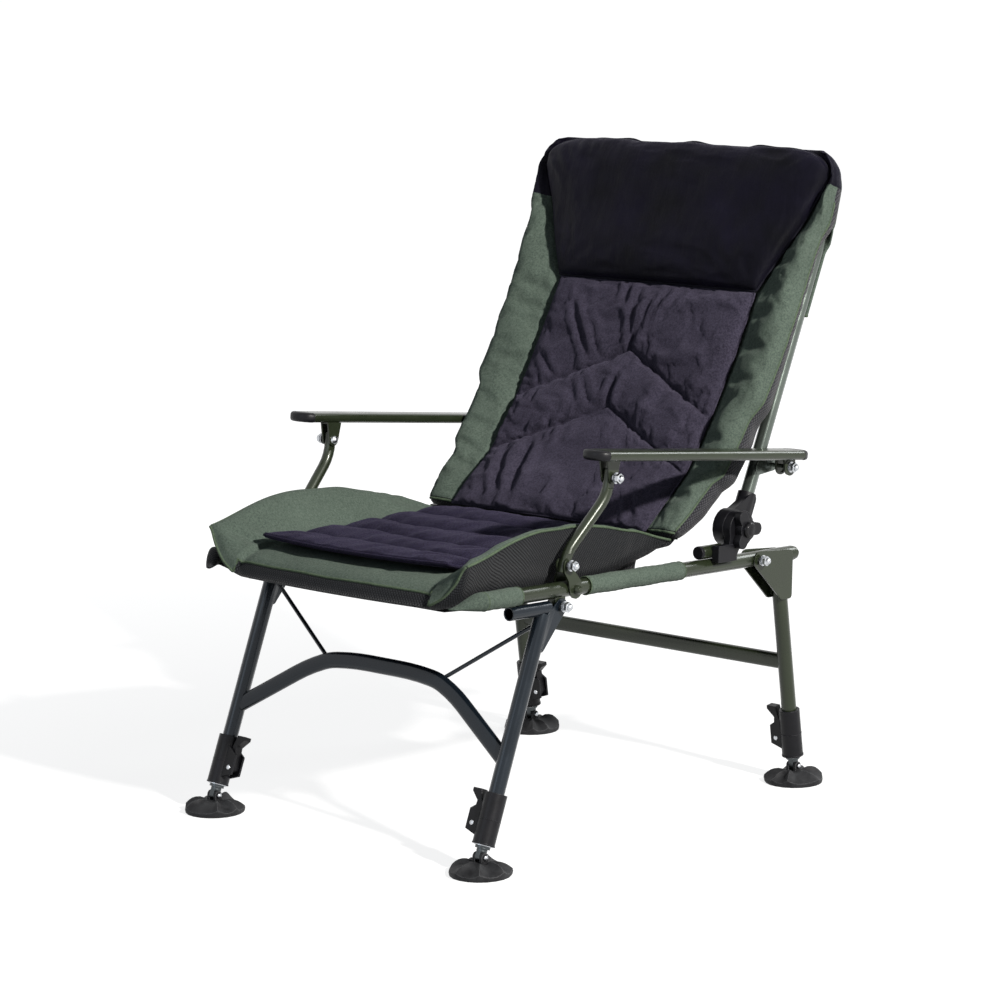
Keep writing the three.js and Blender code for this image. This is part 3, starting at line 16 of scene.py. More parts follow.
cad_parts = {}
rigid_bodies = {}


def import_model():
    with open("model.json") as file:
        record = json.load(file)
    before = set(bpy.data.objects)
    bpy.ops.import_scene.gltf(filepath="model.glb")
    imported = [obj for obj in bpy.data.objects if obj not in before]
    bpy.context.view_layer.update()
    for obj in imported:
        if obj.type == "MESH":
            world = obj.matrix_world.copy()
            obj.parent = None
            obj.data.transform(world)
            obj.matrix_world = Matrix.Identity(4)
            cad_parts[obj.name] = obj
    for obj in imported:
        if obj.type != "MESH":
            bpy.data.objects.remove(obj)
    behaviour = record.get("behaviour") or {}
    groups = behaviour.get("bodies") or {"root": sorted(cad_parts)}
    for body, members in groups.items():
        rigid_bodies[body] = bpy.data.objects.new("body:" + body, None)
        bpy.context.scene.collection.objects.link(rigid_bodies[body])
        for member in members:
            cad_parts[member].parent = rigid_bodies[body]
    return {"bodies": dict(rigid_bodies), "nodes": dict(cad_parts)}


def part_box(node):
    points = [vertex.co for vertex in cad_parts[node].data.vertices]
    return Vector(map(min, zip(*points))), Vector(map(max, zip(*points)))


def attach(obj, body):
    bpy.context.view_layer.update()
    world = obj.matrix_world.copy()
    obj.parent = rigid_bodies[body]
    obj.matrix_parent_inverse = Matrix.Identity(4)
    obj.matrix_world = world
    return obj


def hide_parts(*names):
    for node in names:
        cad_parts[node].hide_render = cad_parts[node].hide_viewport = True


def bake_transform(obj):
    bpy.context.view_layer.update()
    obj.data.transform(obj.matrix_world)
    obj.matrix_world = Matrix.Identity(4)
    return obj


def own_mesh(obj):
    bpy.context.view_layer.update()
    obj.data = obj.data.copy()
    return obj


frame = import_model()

bpy.context.view_layer.update()

# %% [markdown]
# ## Driving sizes
# The soft parts hang in two frames of reference, both seen from the side: the seat's starts at
# the front end of the rails, and the back's at the reclining pivot. "Along" counts rearwards in
# the seat's frame, and "up" counts up the tubes in the back's.

# %% driving sizes
RAIL_FRONT = (-0.36249, 0.3705)
RAIL_SLOPE = math.radians(2.36)
RAIL_HALF_SPREAD = 0.260
RAIL_RADIUS = 0.011
RECLINE_PIVOT = (0.15248, 0.40052)
BACK_LEAN = math.radians(25.3)

SEAT_FRONT = -0.044
SEAT_REAR = 0.398
SEAT_CORNER_SETBACK = 0.019
SEAT_TOP = 0.021
SEAT_BOTTOM = -0.019
SEAT_REAR_RISE = 0.0165
SEAT_CREASE = 0.183
WING_EDGE = 0.248
WING_PLACE_SHARES = [0, 0.05, 0.4, 0.56, 0.8, 1]
WING_RISES = [0.043, 0.048, 0.083, 0.082, 0.065, 0.042]
SEAT_LIP_DEPTH = 0.058
SEAT_LIP_DROP = 0.027
SEAT_END_ROUND = 0.016

MAT_HALF = 0.177
MAT_FRONT = -0.004
MAT_CORNER_SETBACK = 0.017
MAT_REAR = 0.385
MAT_THICKNESS = 0.0175
MAT_SEAM = 0.002
MAT_RIM = 0.0075
MAT_ROLLS = 5
MAT_CURL = 0.013
MAT_CURL_REACH = 0.45
SOFT_GAP = 0.0006

BACK_BOTTOM = -0.046
BACK_TOP = 0.572
BACK_PLACE_SHARES = [0, 0.075, 0.173, 0.322, 0.521, 0.64, 1]
BACK_REACHES = [0.093, 0.070, 0.041, 0.021, 0.006, 0.003, 0.003]
BACK_BEND_UP = 0.462
BACK_BEND = math.radians(9)
BACK_THICKNESS = 0.043
BACK_FOOT_THICKNESS = 0.031
BACK_WIDTH_PLACES = [
    BACK_BOTTOM, 0, 0.044, 0.066, 0.150, 0.185,
    0.430, 0.475, 0.515, 0.540, 0.560, BACK_TOP,
]
BACK_HALF_WIDTHS = [
    0.236, 0.244, 0.245, 0.257, 0.2585, 0.271,
    0.275, 0.284, 0.284, 0.278, 0.263, 0.240,
]
WALL_TAPER_PLACES = [0.430, 0.475]
WALL_TAPERS = [0.012, 0.003]
BACK_CREASE = 0.192
BOLSTER_PROUD_PLACES = [-0.046, 0.02, 0.1, 0.40, 0.50, 0.572]
BOLSTER_PROUDS = [0.006, 0.018, 0.024, 0.026, 0.016, 0.004]
BOLSTER_SEAM_PLACES = [0, 0.43]
BOLSTER_SEAM_SHARES = [0.03, 0.2]
TUBE_SETBACK = 0.028
TUBE_RADIUS = 0.010

PAD_HALF = 0.188
PAD_BOTTOM = -0.043
PAD_TOP = 0.349
PAD_THICKNESS = 0.019
PAD_SEAM = 0.0035
PAD_RIM = 0.003
PAD_SEAM_MIDDLES = [PAD_BOTTOM, 0.148, 0.240, PAD_TOP]
PAD_SEAM_DROPS = [0, 0.091, 0.091, 0]

PILLOW_BOTTOM = 0.352
PILLOW_TOP = 0.567
PILLOW_INSET = 0.003
PILLOW_HEAD_HALF = 0.272
PILLOW_CROWN = 0.041
PILLOW_CORNER = 0.032
PILLOW_WAVE = 0.0022
PILLOW_RIM = 0.006

PIPING_RADIUS = 0.0019
SETTLE_STEPS = 18
CREASE_HOLD = 0.0025
SEED = 11
rng = np.random.default_rng(SEED)
print(f"seat {SEAT_REAR - SEAT_FRONT:.3f} m deep, back {BACK_TOP - BACK_BOTTOM:.3f} m tall")

# %% [markdown]
# ## The camera
# It stands where the photograph was taken: about five metres away, to the chair's front left,
# a little above the seat, with a long lens. The slight roll and shift are the photograph's own.

# %% camera
CAMERA_PLACE = Vector((3.498, -3.8442, 1.3097))
CAMERA_AZIMUTH = math.radians(42.65)
CAMERA_PITCH = math.radians(9.47)
CAMERA_ROLL = math.radians(-0.5)
CAMERA_LENS = 131.53
CAMERA_SHIFT = (-0.00124, -0.00732)

forward = Vector((
    -math.sin(CAMERA_AZIMUTH) * math.cos(CAMERA_PITCH),
    math.cos(CAMERA_AZIMUTH) * math.cos(CAMERA_PITCH),
    -math.sin(CAMERA_PITCH),
))
level_right = Vector((math.cos(CAMERA_AZIMUTH), math.sin(CAMERA_AZIMUTH), 0))
level_up = level_right.cross(forward)
camera_right = level_right * math.cos(CAMERA_ROLL) + level_up * math.sin(CAMERA_ROLL)
camera_up = level_up * math.cos(CAMERA_ROLL) - level_right * math.sin(CAMERA_ROLL)
camera_data = bpy.data.cameras.new("camera")
camera_data.lens = CAMERA_LENS
camera_data.shift_x, camera_data.shift_y = CAMERA_SHIFT
camera = bpy.data.objects.new("camera", camera_data)
turn = Matrix((camera_right, camera_up, -forward)).transposed().to_4x4()
camera.matrix_world = Matrix.Translation(CAMERA_PLACE) @ turn
bpy.context.scene.collection.objects.link(camera)
bpy.context.scene.camera = camera
bpy.context.scene.view_settings.view_transform = "Standard"
print("camera", [round(value, 3) for value in camera.location])

# %% [markdown]
# ## Floor, backdrop and light
# The photograph is cut out on white. A white floor and a white world stand for that, and the
# floor keeps the soft shadow. One lamp stands for the low sun at the chair's front left, and
# two weaker ones keep the shaded side readable.

# %% light
SEAT_MIDDLE = (0, 0, 0.5)
# each lamp's place, the size of its disk, its power in watts and its colour
LAMPS = {
    "sun": ((4.6, -0.7, 3.1), 0.3, 450, (1, 0.97, 0.93)),
    "fill": ((-0.4, -3.6, 1.7), 2.0, 13, (0.76, 0.87, 1)),
    "rim": ((0.9, 3.2, 2.6), 1.2, 34, (0.95, 0.98, 1)),
}


def lamp(name, place, aim, size, power, colour):
    data = bpy.data.lights.new(name, "AREA")
    data.shape = "DISK"
    data.size = size
    data.energy = power
    data.color = colour
    made = bpy.data.objects.new(name, data)
    made.location = place
    made.rotation_euler = (Vector(aim) - Vector(place)).to_track_quat("-Z", "Y").to_euler()
    bpy.context.scene.collection.objects.link(made)
    return made


for name, (place, size, power, colour) in LAMPS.items():
    lamp(name, place, SEAT_MIDDLE, size, power, colour)
print("lamps:", len(LAMPS))

# %% white floor and world
WORLD_LEVEL = 0.13
SKY_COLOUR = (0.86, 0.93, 1, 1)
FLOOR_SIZE = 60
FLOOR_ALBEDO = 0.3
FLOOR_GLOW = 0.84
FLOOR_FAR_GLOW = 1.0
GLOW_NEAR = 0.7
GLOW_FAR = 2.4


def seen_straight(tree):
    """1 where the camera, glass or metal looks at it, and 0 where it lights the chair."""
    path = tree.nodes.new("ShaderNodeLightPath")
    seen = path.outputs["Is Camera Ray"]
    for kind in ("Is Transmission Ray", "Is Glossy Ray"):
        either = tree.nodes.new("ShaderNodeMath")
        either.operation = "MAXIMUM"
        tree.links.new(seen, either.inputs[0])
        tree.links.new(path.outputs[kind], either.inputs[1])
        seen = either.outputs[0]
    return seen


world = bpy.data.worlds.new("white")
bpy.context.scene.world = world
world.use_nodes = True
tree = world.node_tree
tree.nodes.clear()
dim = tree.nodes.new("ShaderNodeBackground")
dim.inputs["Color"].default_value = SKY_COLOUR
dim.inputs["Strength"].default_value = WORLD_LEVEL
white = tree.nodes.new("ShaderNodeBackground")
white.inputs["Color"].default_value = (1, 1, 1, 1)
choose = tree.nodes.new("ShaderNodeMixShader")
tree.links.new(seen_straight(tree), choose.inputs[0])
tree.links.new(dim.outputs[0], choose.inputs[1])
tree.links.new(white.outputs[0], choose.inputs[2])
tree.links.new(choose.outputs[0], tree.nodes.new("ShaderNodeOutputWorld").inputs[0])

floor_mesh = bpy.data.meshes.new("floor")
corner = FLOOR_SIZE / 2
floor_mesh.from_pydata(
    [(-corner, -corner, 0), (corner, -corner, 0), (corner, corner, 0), (-corner, corner, 0)],
    [],
    [(0, 1, 2, 3)],
)
floor = bpy.data.objects.new("floor", floor_mesh)
bpy.context.scene.collection.objects.link(floor)
floor_look = bpy.data.materials.new("floor_white")
floor_look.use_nodes = True
tree = floor_look.node_tree
tree.nodes.clear()
matt = tree.nodes.new("ShaderNodeBsdfDiffuse")
matt.inputs["Color"].default_value = (FLOOR_ALBEDO, FLOOR_ALBEDO, FLOOR_ALBEDO, 1)
glow = tree.nodes.new("ShaderNodeEmission")
away = tree.nodes.new("ShaderNodeVectorMath")
away.operation = "LENGTH"
tree.links.new(tree.nodes.new("ShaderNodeTexCoord").outputs["Object"], away.inputs[0])
fade = tree.nodes.new("ShaderNodeMapRange")
tree.links.new(away.outputs["Value"], fade.inputs[0])
for socket, value in zip(fade.inputs[1:], (GLOW_NEAR, GLOW_FAR, FLOOR_GLOW, FLOOR_FAR_GLOW)):
    socket.default_value = value
tree.links.new(fade.outputs[0], glow.inputs["Strength"])
both = tree.nodes.new("ShaderNodeAddShader")
tree.links.new(matt.outputs[0], both.inputs[0])
tree.links.new(glow.outputs[0], both.inputs[1])
choose = tree.nodes.new("ShaderNodeMixShader")
tree.links.new(seen_straight(tree), choose.inputs[0])
tree.links.new(matt.outputs[0], choose.inputs[1])
tree.links.new(both.outputs[0], choose.inputs[2])
tree.links.new(choose.outputs[0], tree.nodes.new("ShaderNodeOutputMaterial").inputs[0])
floor_mesh.materials.append(floor_look)
print("floor and world are white to the camera")

# %% [markdown]
# ## Finishes
# Each finish is a small net of nodes. The cloths use a weave that follows the cloth's own
# lengths, so it bends with every fold, and a speckle for the fuzz of the yarn.

# %% node helpers
class Net:
    """A material whose nodes are wired with short calls."""

    def __init__(self, name):
        self.material = bpy.data.materials.new(name)
        self.material.use_nodes = True
        self.tree = self.material.node_tree
        self.shader = self.tree.nodes["Principled BSDF"]

    def feed(self, socket, value):
        if isinstance(value, bpy.types.NodeSocket):
            self.tree.links.new(value, socket)
        else:
            socket.default_value = value

    def set(self, **values):
        for name, value in values.items():
            self.feed(self.shader.inputs[name.replace("_", " ")], value)

    def math(self, operation, first, second=0.0, third=0.0):
        node = self.tree.nodes.new("ShaderNodeMath")
        node.operation = operation
        for socket, value in zip(node.inputs, (first, second, third)):
            self.feed(socket, value)
        return node.outputs[0]

    def place(self, kind):
        return self.tree.nodes.new("ShaderNodeTexCoord").outputs[kind]

    def split(self, vector):
        node = self.tree.nodes.new("ShaderNodeSeparateXYZ")
        self.feed(node.inputs[0], vector)
        return node.outputs[0], node.outputs[1], node.outputs[2]

    def noise(self, vector, scale, detail=2.0, roughness=0.5):
        node = self.tree.nodes.new("ShaderNodeTexNoise")
        self.feed(node.inputs["Vector"], vector)
        node.inputs["Scale"].default_value = scale
        node.inputs["Detail"].default_value = detail
        node.inputs["Roughness"].default_value = roughness
        return node.outputs["Fac"]

    def ramp(self, value, low, high, low_colour, high_colour):
        node = self.tree.nodes.new("ShaderNodeValToRGB")
        self.feed(node.inputs[0], value)
        first, last = node.color_ramp.elements
        first.position, last.position = low, high
        first.color, last.color = (*low_colour, 1), (*high_colour, 1)
        return node.outputs[0]

    def span(self, value, low, high, low_value, high_value):
        node = self.tree.nodes.new("ShaderNodeMapRange")
        for socket, given in zip(node.inputs, (value, low, high, low_value, high_value)):
            self.feed(socket, given)
        return node.outputs[0]

    def mix(self, share, first, second):
        node = self.tree.nodes.new("ShaderNodeMix")
        node.data_type = "RGBA"
        self.feed(node.inputs["Factor"], share)
        self.feed(node.inputs[6], first)
        self.feed(node.inputs[7], second)
        return node.outputs[2]

    def bump(self, height, distance, strength=1.0, normal=None):
        node = self.tree.nodes.new("ShaderNodeBump")
        node.inputs["Distance"].default_value = distance
        node.inputs["Strength"].default_value = strength
        self.feed(node.inputs["Height"], height)
        if normal is not None:
            self.feed(node.inputs["Normal"], normal)
        return node.outputs[0]


print("nets of nodes ready")

# %% recipes for the finishes
CLOTH_SPECULAR = 0.06
MOULDED_SPECULAR = 0.2
PAINT_SPECULAR = 0.35
WEAVE_CRUMPLE = 0.0009
DIAMOND_CRUMPLE = 0.0015
SATEEN_THREAD = 0.00006
SATEEN_CREASE = 0.0022
PAINT_EDGE = 0.0012
PAINT_PEEL = 0.00003
MOULDED_EDGE = 0.0016


def linear(red, green, blue):
    """A colour given as it looks on a screen, from 0 to 255."""
    def one(value):
        value /= 255
        return value / 12.92 if value <= 0.04045 else ((value + 0.055) / 1.055) ** 2.4
    return one(red), one(green), one(blue)


def woven(name, dark, light, pitch, depth, roughness, fuzz, sheen=0.0, sheen_tint=(1, 1, 1)):
    """A plain weave: threads pass over and under each other, a little uneven in colour."""
    net = Net(name)
    u, v, _ = net.split(net.place("UV"))
    warp = net.math("MULTIPLY", u, 1 / pitch)
    weft = net.math("MULTIPLY", v, 1 / pitch)
    over_warp = net.math("ABSOLUTE", net.math("SINE", net.math("MULTIPLY", warp, math.pi)))
    over_weft = net.math("ABSOLUTE", net.math("SINE", net.math("MULTIPLY", weft, math.pi)))
    cells = net.math("ADD", net.math("FLOOR", warp), net.math("FLOOR", weft))
    odd = net.math("PINGPONG", cells, 1)
    height = net.math("ADD", net.math("MULTIPLY", over_warp, odd),
                      net.math("MULTIPLY", over_weft, net.math("SUBTRACT", 1, odd)))
    spot = net.place("Object")
    speckle = net.span(net.noise(spot, 340, 3, 0.85), 0.32, 0.68, 0, 1)
    cloud = net.noise(spot, 9, 3, 0.6)
    tone = net.math("ADD", net.math("MULTIPLY", speckle, fuzz),
                    net.math("MULTIPLY", height, 1 - fuzz))
    colour = net.ramp(tone, 0.25, 0.8, dark, light)
    shade = net.span(cloud, 0.3, 0.7, 0.88, 1.08)
    toned = net.tree.nodes.new("ShaderNodeVectorMath")
    toned.operation = "SCALE"
    net.feed(toned.inputs[0], colour)
    net.feed(toned.inputs["Scale"], shade)
    fine = net.bump(height, depth)
    crumple = net.bump(net.noise(spot, 55, 3, 0.5), WEAVE_CRUMPLE, 0.5, fine)
    net.set(Base_Color=toned.outputs[0], Roughness=roughness, Normal=crumple,
            Sheen_Weight=sheen, Sheen_Roughness=0.5, Sheen_Tint=(*sheen_tint, 1))
    net.shader.inputs["Specular IOR Level"].default_value = CLOTH_SPECULAR
    return net.material


def embossed(name, dark, light, pitch, depth, roughness, sheen):
    """A cloth with raised diamonds."""
    net = Net(name)
    u, v, _ = net.split(net.place("UV"))
    one = net.math("MULTIPLY", net.math("ADD", u, v), 1 / pitch)
    other = net.math("MULTIPLY", net.math("SUBTRACT", u, v), 1 / pitch)
    ridge_one = net.math("ABSOLUTE", net.math("SINE", net.math("MULTIPLY", one, math.pi)))
    ridge_other = net.math("ABSOLUTE", net.math("SINE", net.math("MULTIPLY", other, math.pi)))
    height = net.math("MINIMUM", ridge_one, ridge_other)
    speckle = net.noise(net.place("Object"), 500, 2, 0.6)
    tone = net.math("ADD", net.math("MULTIPLY", height, 0.75), net.math("MULTIPLY", speckle, 0.25))
    colour = net.ramp(tone, 0.15, 0.85, dark, light)
    fine = net.bump(height, depth)
    crumple = net.bump(net.noise(net.place("Object"), 40, 4, 0.6), DIAMOND_CRUMPLE, 0.5, fine)
    net.set(Base_Color=colour, Normal=crumple, Sheen_Weight=sheen, Sheen_Roughness=0.4,
            Roughness=net.span(speckle, 0.3, 0.7, roughness - 0.08, roughness + 0.08))
    net.shader.inputs["Specular IOR Level"].default_value = CLOTH_SPECULAR
    return net.material


def sateen(name, dark, light):
    """A smooth cloth with a soft gloss and fine creases that run up the back."""
    net = Net(name)
    spot = net.place("Object")
    u, v, _ = net.split(net.place("UV"))
    thread = net.math("SINE", net.math("MULTIPLY", v, 9000))
    stretch = net.tree.nodes.new("ShaderNodeCombineXYZ")
    net.feed(stretch.inputs[0], u)
    net.feed(stretch.inputs[1], net.math("MULTIPLY", v, 0.22))
    creases = net.noise(stretch.outputs[0], 60, 5, 0.6)
    cloud = net.noise(spot, 14, 3, 0.5)
    colour = net.ramp(cloud, 0.3, 0.75, dark, light)
    fine = net.bump(thread, SATEEN_THREAD)
    rumpled = net.bump(creases, SATEEN_CREASE, 0.6, fine)
    net.set(Base_Color=colour, Roughness=net.span(creases, 0.3, 0.7, 0.42, 0.6), Normal=rumpled,
            Sheen_Weight=0.05, Sheen_Roughness=0.35, Sheen_Tint=(*linear(150, 140, 190), 1))
    net.shader.inputs["Specular IOR Level"].default_value = CLOTH_SPECULAR
    return net.material


def worn_and_highlit_edges(net, radius, full_at, most):
    """A bevelled normal, and how much of an edge a point is: there that normal turns away
    from the flat one."""
    bevel = net.tree.nodes.new("ShaderNodeBevel")
    bevel.samples = 4
    bevel.inputs["Radius"].default_value = radius
    geometry = net.tree.nodes.new("ShaderNodeNewGeometry")
    dot = net.tree.nodes.new("ShaderNodeVectorMath")
    dot.operation = "DOT_PRODUCT"
    net.feed(dot.inputs[0], bevel.outputs[0])
    net.feed(dot.inputs[1], geometry.outputs["Normal"])
    return bevel.outputs[0], net.span(dot.outputs["Value"], 0.99, full_at, 0, most)


def painted(name, colour, worn, roughness, metal):
    """Sprayed paint: a slight orange peel, fine dust, and edges rubbed a little lighter."""
    net = Net(name)
    spot = net.place("Object")
    rounded, edge = worn_and_highlit_edges(net, PAINT_EDGE, 0.86, 1)
    rubbed = net.math("MULTIPLY", edge, net.span(net.noise(spot, 130, 4, 0.7), 0.5, 0.68, 0, 0.45))
    cloud = net.noise(spot, 20, 4, 0.6)
    dusty = net.ramp(cloud, 0.35, 0.75, [c * 0.92 for c in colour], [c * 1.1 for c in colour])
    peel = net.bump(net.noise(spot, 700, 2, 0.5), PAINT_PEEL, 0.5, rounded)
    net.set(Base_Color=net.mix(rubbed, dusty, (*worn, 1)), Normal=peel, Metallic=metal,
            Roughness=net.span(cloud, 0.3, 0.75, roughness - 0.05, roughness + 0.09),
            Coat_Weight=0.2, Coat_Roughness=0.1)
    net.shader.inputs["Specular IOR Level"].default_value = PAINT_SPECULAR
    return net.material


def moulded(name, dark, light, roughness, grain):
    """Moulded plastic or rubber: a fine grain, and lighter edges: scuffing and a painted highlight.
    """
    net = Net(name)
    spot = net.place("Object")
    rounded, edge = worn_and_highlit_edges(net, MOULDED_EDGE, 0.85, 0.8)
    dust = net.noise(spot, 45, 5, 0.7)
    colour = net.ramp(dust, 0.35, 0.8, dark, light)
    skin = net.bump(net.noise(spot, 1500, 3, 0.6), grain, 0.6, rounded)
    # every edge is made lighter: scuffing together with a painted highlight
    scuff_and_highlight = [c * 2.6 + 0.012 for c in light]
    net.set(Base_Color=net.mix(edge, colour, (*scuff_and_highlight, 1)), Normal=skin,
            Roughness=net.span(dust, 0.3, 0.8, roughness - 0.08, roughness + 0.12))
    net.shader.inputs["Specular IOR Level"].default_value = MOULDED_SPECULAR
    return net.material


def plated(name, colour, roughness, scratch):
    """Plated or bare steel: soft cloudy spangles and fine scratches."""
    net = Net(name)
    spot = net.place("Object")
    spangle = net.noise(spot, 260, 3, 0.6)
    tone = net.ramp(spangle, 0.35, 0.7, [c * 0.75 for c in colour], colour)
    grain = net.bump(net.noise(spot, 1800, 2, 0.6), scratch, 0.5)
    net.set(Base_Color=tone, Metallic=1.0, Normal=grain,
            Roughness=net.span(spangle, 0.3, 0.7, roughness - 0.06, roughness + 0.1))
    return net.material


print("ways to make a finish: woven, embossed, sateen, painted, moulded and plated")

# %% [markdown]
# ## The chair's own finishes
# The frame is sprayed olive green, and the front legs look nearly black in the shade. The
# green cloth is a tight canvas, the pad is a dark plum canvas, and the pillow is satin. Each
# colour was judged beside the photograph.

# %% finishes
GREEN_THREAD = 0.0011
CANVAS_THREAD = 0.0012
GREEN_DEPTH = 0.00022
CANVAS_DEPTH = 0.00024
PIPING_DEPTH = 0.0002
DIAMOND_PITCH = 0.0046
DIAMOND_DEPTH = 0.0009
BAND_PITCH = 0.0062
BAND_DEPTH = 0.0011
COARSE_GRAIN = 0.00012
GRAIN = 0.00006
FINE_GRAIN = 0.00002
PLATING_SCRATCH = 0.00004
PAINT = painted("frame_paint_look", linear(38, 45, 30), linear(76, 84, 62), 0.28, 0.2)
HOOP_PAINT = painted("tube_paint_look", linear(98, 106, 100), linear(132, 140, 128), 0.2, 0.75)
PLASTIC = moulded("black_plastic_look", linear(14, 14, 17), linear(22, 22, 26), 0.4, GRAIN)
GLOSS_PLASTIC = moulded("knob_cap_look", linear(13, 13, 15), linear(20, 20, 23), 0.2, FINE_GRAIN)
RUBBER = moulded("foot_rubber_look", linear(18, 18, 20), linear(54, 55, 57), 0.6, COARSE_GRAIN)
# the front leg frame and its stays get a darker, bluish copy of the frame paint: painted shade
SHADED_LEG_PAINT = painted("leg_paint_painted_shade_look", linear(22, 30, 38), linear(70, 78, 80), 0.24, 0.4)
ZINC = plated("zinc_look", linear(205, 208, 212), 0.28, PLATING_SCRATCH)
STEEL = plated("bare_steel_look", linear(84, 88, 90), 0.34, GRAIN)
GREEN = woven("green_fabric_look", linear(60, 72, 65), linear(96, 108, 98), GREEN_THREAD,
              GREEN_DEPTH, roughness=0.84, fuzz=0.6, sheen=0.1, sheen_tint=linear(200, 210, 200))
PURPLE = woven("dark_fabric_look", linear(38, 35, 46), linear(68, 64, 79), CANVAS_THREAD,
               CANVAS_DEPTH, roughness=0.9, fuzz=0.72, sheen=0.18,
               sheen_tint=linear(180, 172, 200))
# the seat mat is the pad's canvas made much darker: painted shade
SHADED_MAT_CLOTH = woven("mat_fabric_painted_shade_look", linear(10, 8, 19), linear(36, 32, 52), CANVAS_THREAD,
                  CANVAS_DEPTH, roughness=0.9, fuzz=0.72, sheen=0.16,
                  sheen_tint=linear(176, 168, 204))
BLACK_CLOTH = embossed("black_cloth_look", linear(9, 9, 11), linear(50, 52, 55), DIAMOND_PITCH,
                       DIAMOND_DEPTH, roughness=0.6, sheen=0.04)
MESH_BAND = embossed("mesh_band_look", linear(11, 11, 13), linear(74, 74, 80), BAND_PITCH,
                     BAND_DEPTH, roughness=0.7, sheen=0.12)
SATIN = sateen("satin_look", linear(9, 9, 14), linear(19, 17, 31))
PIPING = woven("piping_look", linear(54, 68, 54), linear(96, 110, 90), CANVAS_THREAD,
               PIPING_DEPTH, roughness=0.75, fuzz=0.4)
DARK_PIPING = woven("dark_piping_look", linear(12, 12, 17), linear(36, 35, 44), CANVAS_THREAD,
                    PIPING_DEPTH, roughness=0.7, fuzz=0.4)
print("finishes:", len(bpy.data.materials))

# %% [markdown]
# ## The frame's own nodes
# Their meshes stay untouched. A modifier joins the faceted triangles and smooths the round
# tubes, and each node gets the finish of its material.

# %% smooth the frame
SMOOTH_ANGLE = math.radians(46)
MERGE_DISTANCE = 0.00001


def smoothing_nodes():
    group = bpy.data.node_groups.new("smooth_round_faces", "GeometryNodeTree")
    group.interface.new_socket("Geometry", in_out="INPUT", socket_type="NodeSocketGeometry")
    group.interface.new_socket("Geometry", in_out="OUTPUT", socket_type="NodeSocketGeometry")
    start = group.nodes.new("NodeGroupInput")
    merge = group.nodes.new("GeometryNodeMergeByDistance")
    merge.inputs["Distance"].default_value = MERGE_DISTANCE
    plain = group.nodes.new("GeometryNodeRemoveAttribute")
    plain.inputs["Name"].default_value = "custom_normal"
    round_faces = group.nodes.new("GeometryNodeSetShadeSmooth")
    round_faces.domain = "FACE"
    round_faces.inputs["Shade Smooth"].default_value = True
    angle = group.nodes.new("GeometryNodeInputMeshEdgeAngle")
    sharp = group.nodes.new("FunctionNodeCompare")
    sharp.operation = "GREATER_THAN"
    sharp.inputs[1].default_value = SMOOTH_ANGLE
    keep_edges = group.nodes.new("GeometryNodeSetShadeSmooth")
    keep_edges.domain = "EDGE"
    keep_edges.inputs["Shade Smooth"].default_value = False
    end = group.nodes.new("NodeGroupOutput")
    link = group.links.new
    link(start.outputs[0], plain.inputs[0])
    link(plain.outputs[0], merge.inputs[0])
    link(merge.outputs[0], round_faces.inputs[0])
    link(round_faces.outputs[0], keep_edges.inputs[0])
    link(angle.outputs["Unsigned Angle"], sharp.inputs[0])
    link(sharp.outputs[0], keep_edges.inputs["Selection"])
    link(keep_edges.outputs[0], end.inputs[0])
    return group


LOOKS = {
    "frame_paint": PAINT,
    "zinc": ZINC,
    "bare_steel": STEEL,
    "black_plastic": PLASTIC,
    "foot_rubber": RUBBER,
}
smoothing = smoothing_nodes()
for name, node in frame["nodes"].items():
    made = node.material_slots[0].material.name.split(".")[0]
    if made in LOOKS:
        node.material_slots[0].material = LOOKS[made]
        node.modifiers.new("smooth", "NODES").node_group = smoothing
# the front leg frame and its stays take the paint with painted shade
TUBE_LOOKS = {
    "back_hoop": HOOP_PAINT,
    "front_leg_frame": SHADED_LEG_PAINT,
    "leg_stay_left": SHADED_LEG_PAINT,
    "leg_stay_right": SHADED_LEG_PAINT,
}
for name, look in TUBE_LOOKS.items():
    frame["nodes"][name].material_slots[0].material = look
print("frame nodes dressed:", sum(bool(n.modifiers) for n in frame["nodes"].values()))

# %% [markdown]
# ## Making cloth
# A soft part is a stack of closed loops. The first half of each loop is the outer cloth and
# the second half runs back on the hidden side, so that the two meet along a sewn edge. Every
# point carries the cloth's own lengths for the weave.

# %% cloth helpers
CAP_DEPTH = 0.01


class SideFrame:
    """A frame of reference seen from the side: its origin, and where along and up point."""

    def __init__(self, origin, tilt):
        self.origin = np.array([0, *origin])
        self.along = np.array([0, math.cos(tilt), -math.sin(tilt)])
        self.up = np.array([0, math.sin(tilt), math.cos(tilt)])

    def place(self, x, along, up):
        x, along, up = np.broadcast_arrays(x, along, up)
        across = x[..., None] * np.array([1.0, 0, 0])
        return self.origin + across + along[..., None] * self.along + up[..., None] * self.up


SEAT = SideFrame(RAIL_FRONT, RAIL_SLOPE)
BACK = SideFrame(RECLINE_PIVOT, BACK_LEAN)


def curve_at(places, values, where):
    """A smooth line through the values that never overshoots them."""
    places, values = np.asarray(places, float), np.asarray(values, float)
    steps = np.diff(places)
    slopes = np.diff(values) / steps
    tangents = np.concatenate([slopes[:1], np.zeros(len(slopes) - 1), slopes[-1:]])
    for i in range(1, len(slopes)):
        before, after = slopes[i - 1], slopes[i]
        if before * after > 0:
            tangents[i] = 2 * before * after / (before + after)
    where = np.clip(where, places[0], places[-1])
    i = np.clip(np.searchsorted(places, where, side="right") - 1, 0, len(steps) - 1)
    t = (where - places[i]) / steps[i]
    start, end = values[i], values[i + 1]
    leave, arrive = tangents[i] * steps[i], tangents[i + 1] * steps[i]
    return (start * (1 + 2 * t) * (1 - t) ** 2 + leave * t * (1 - t) ** 2
            + end * t * t * (3 - 2 * t) + arrive * t * t * (t - 1))


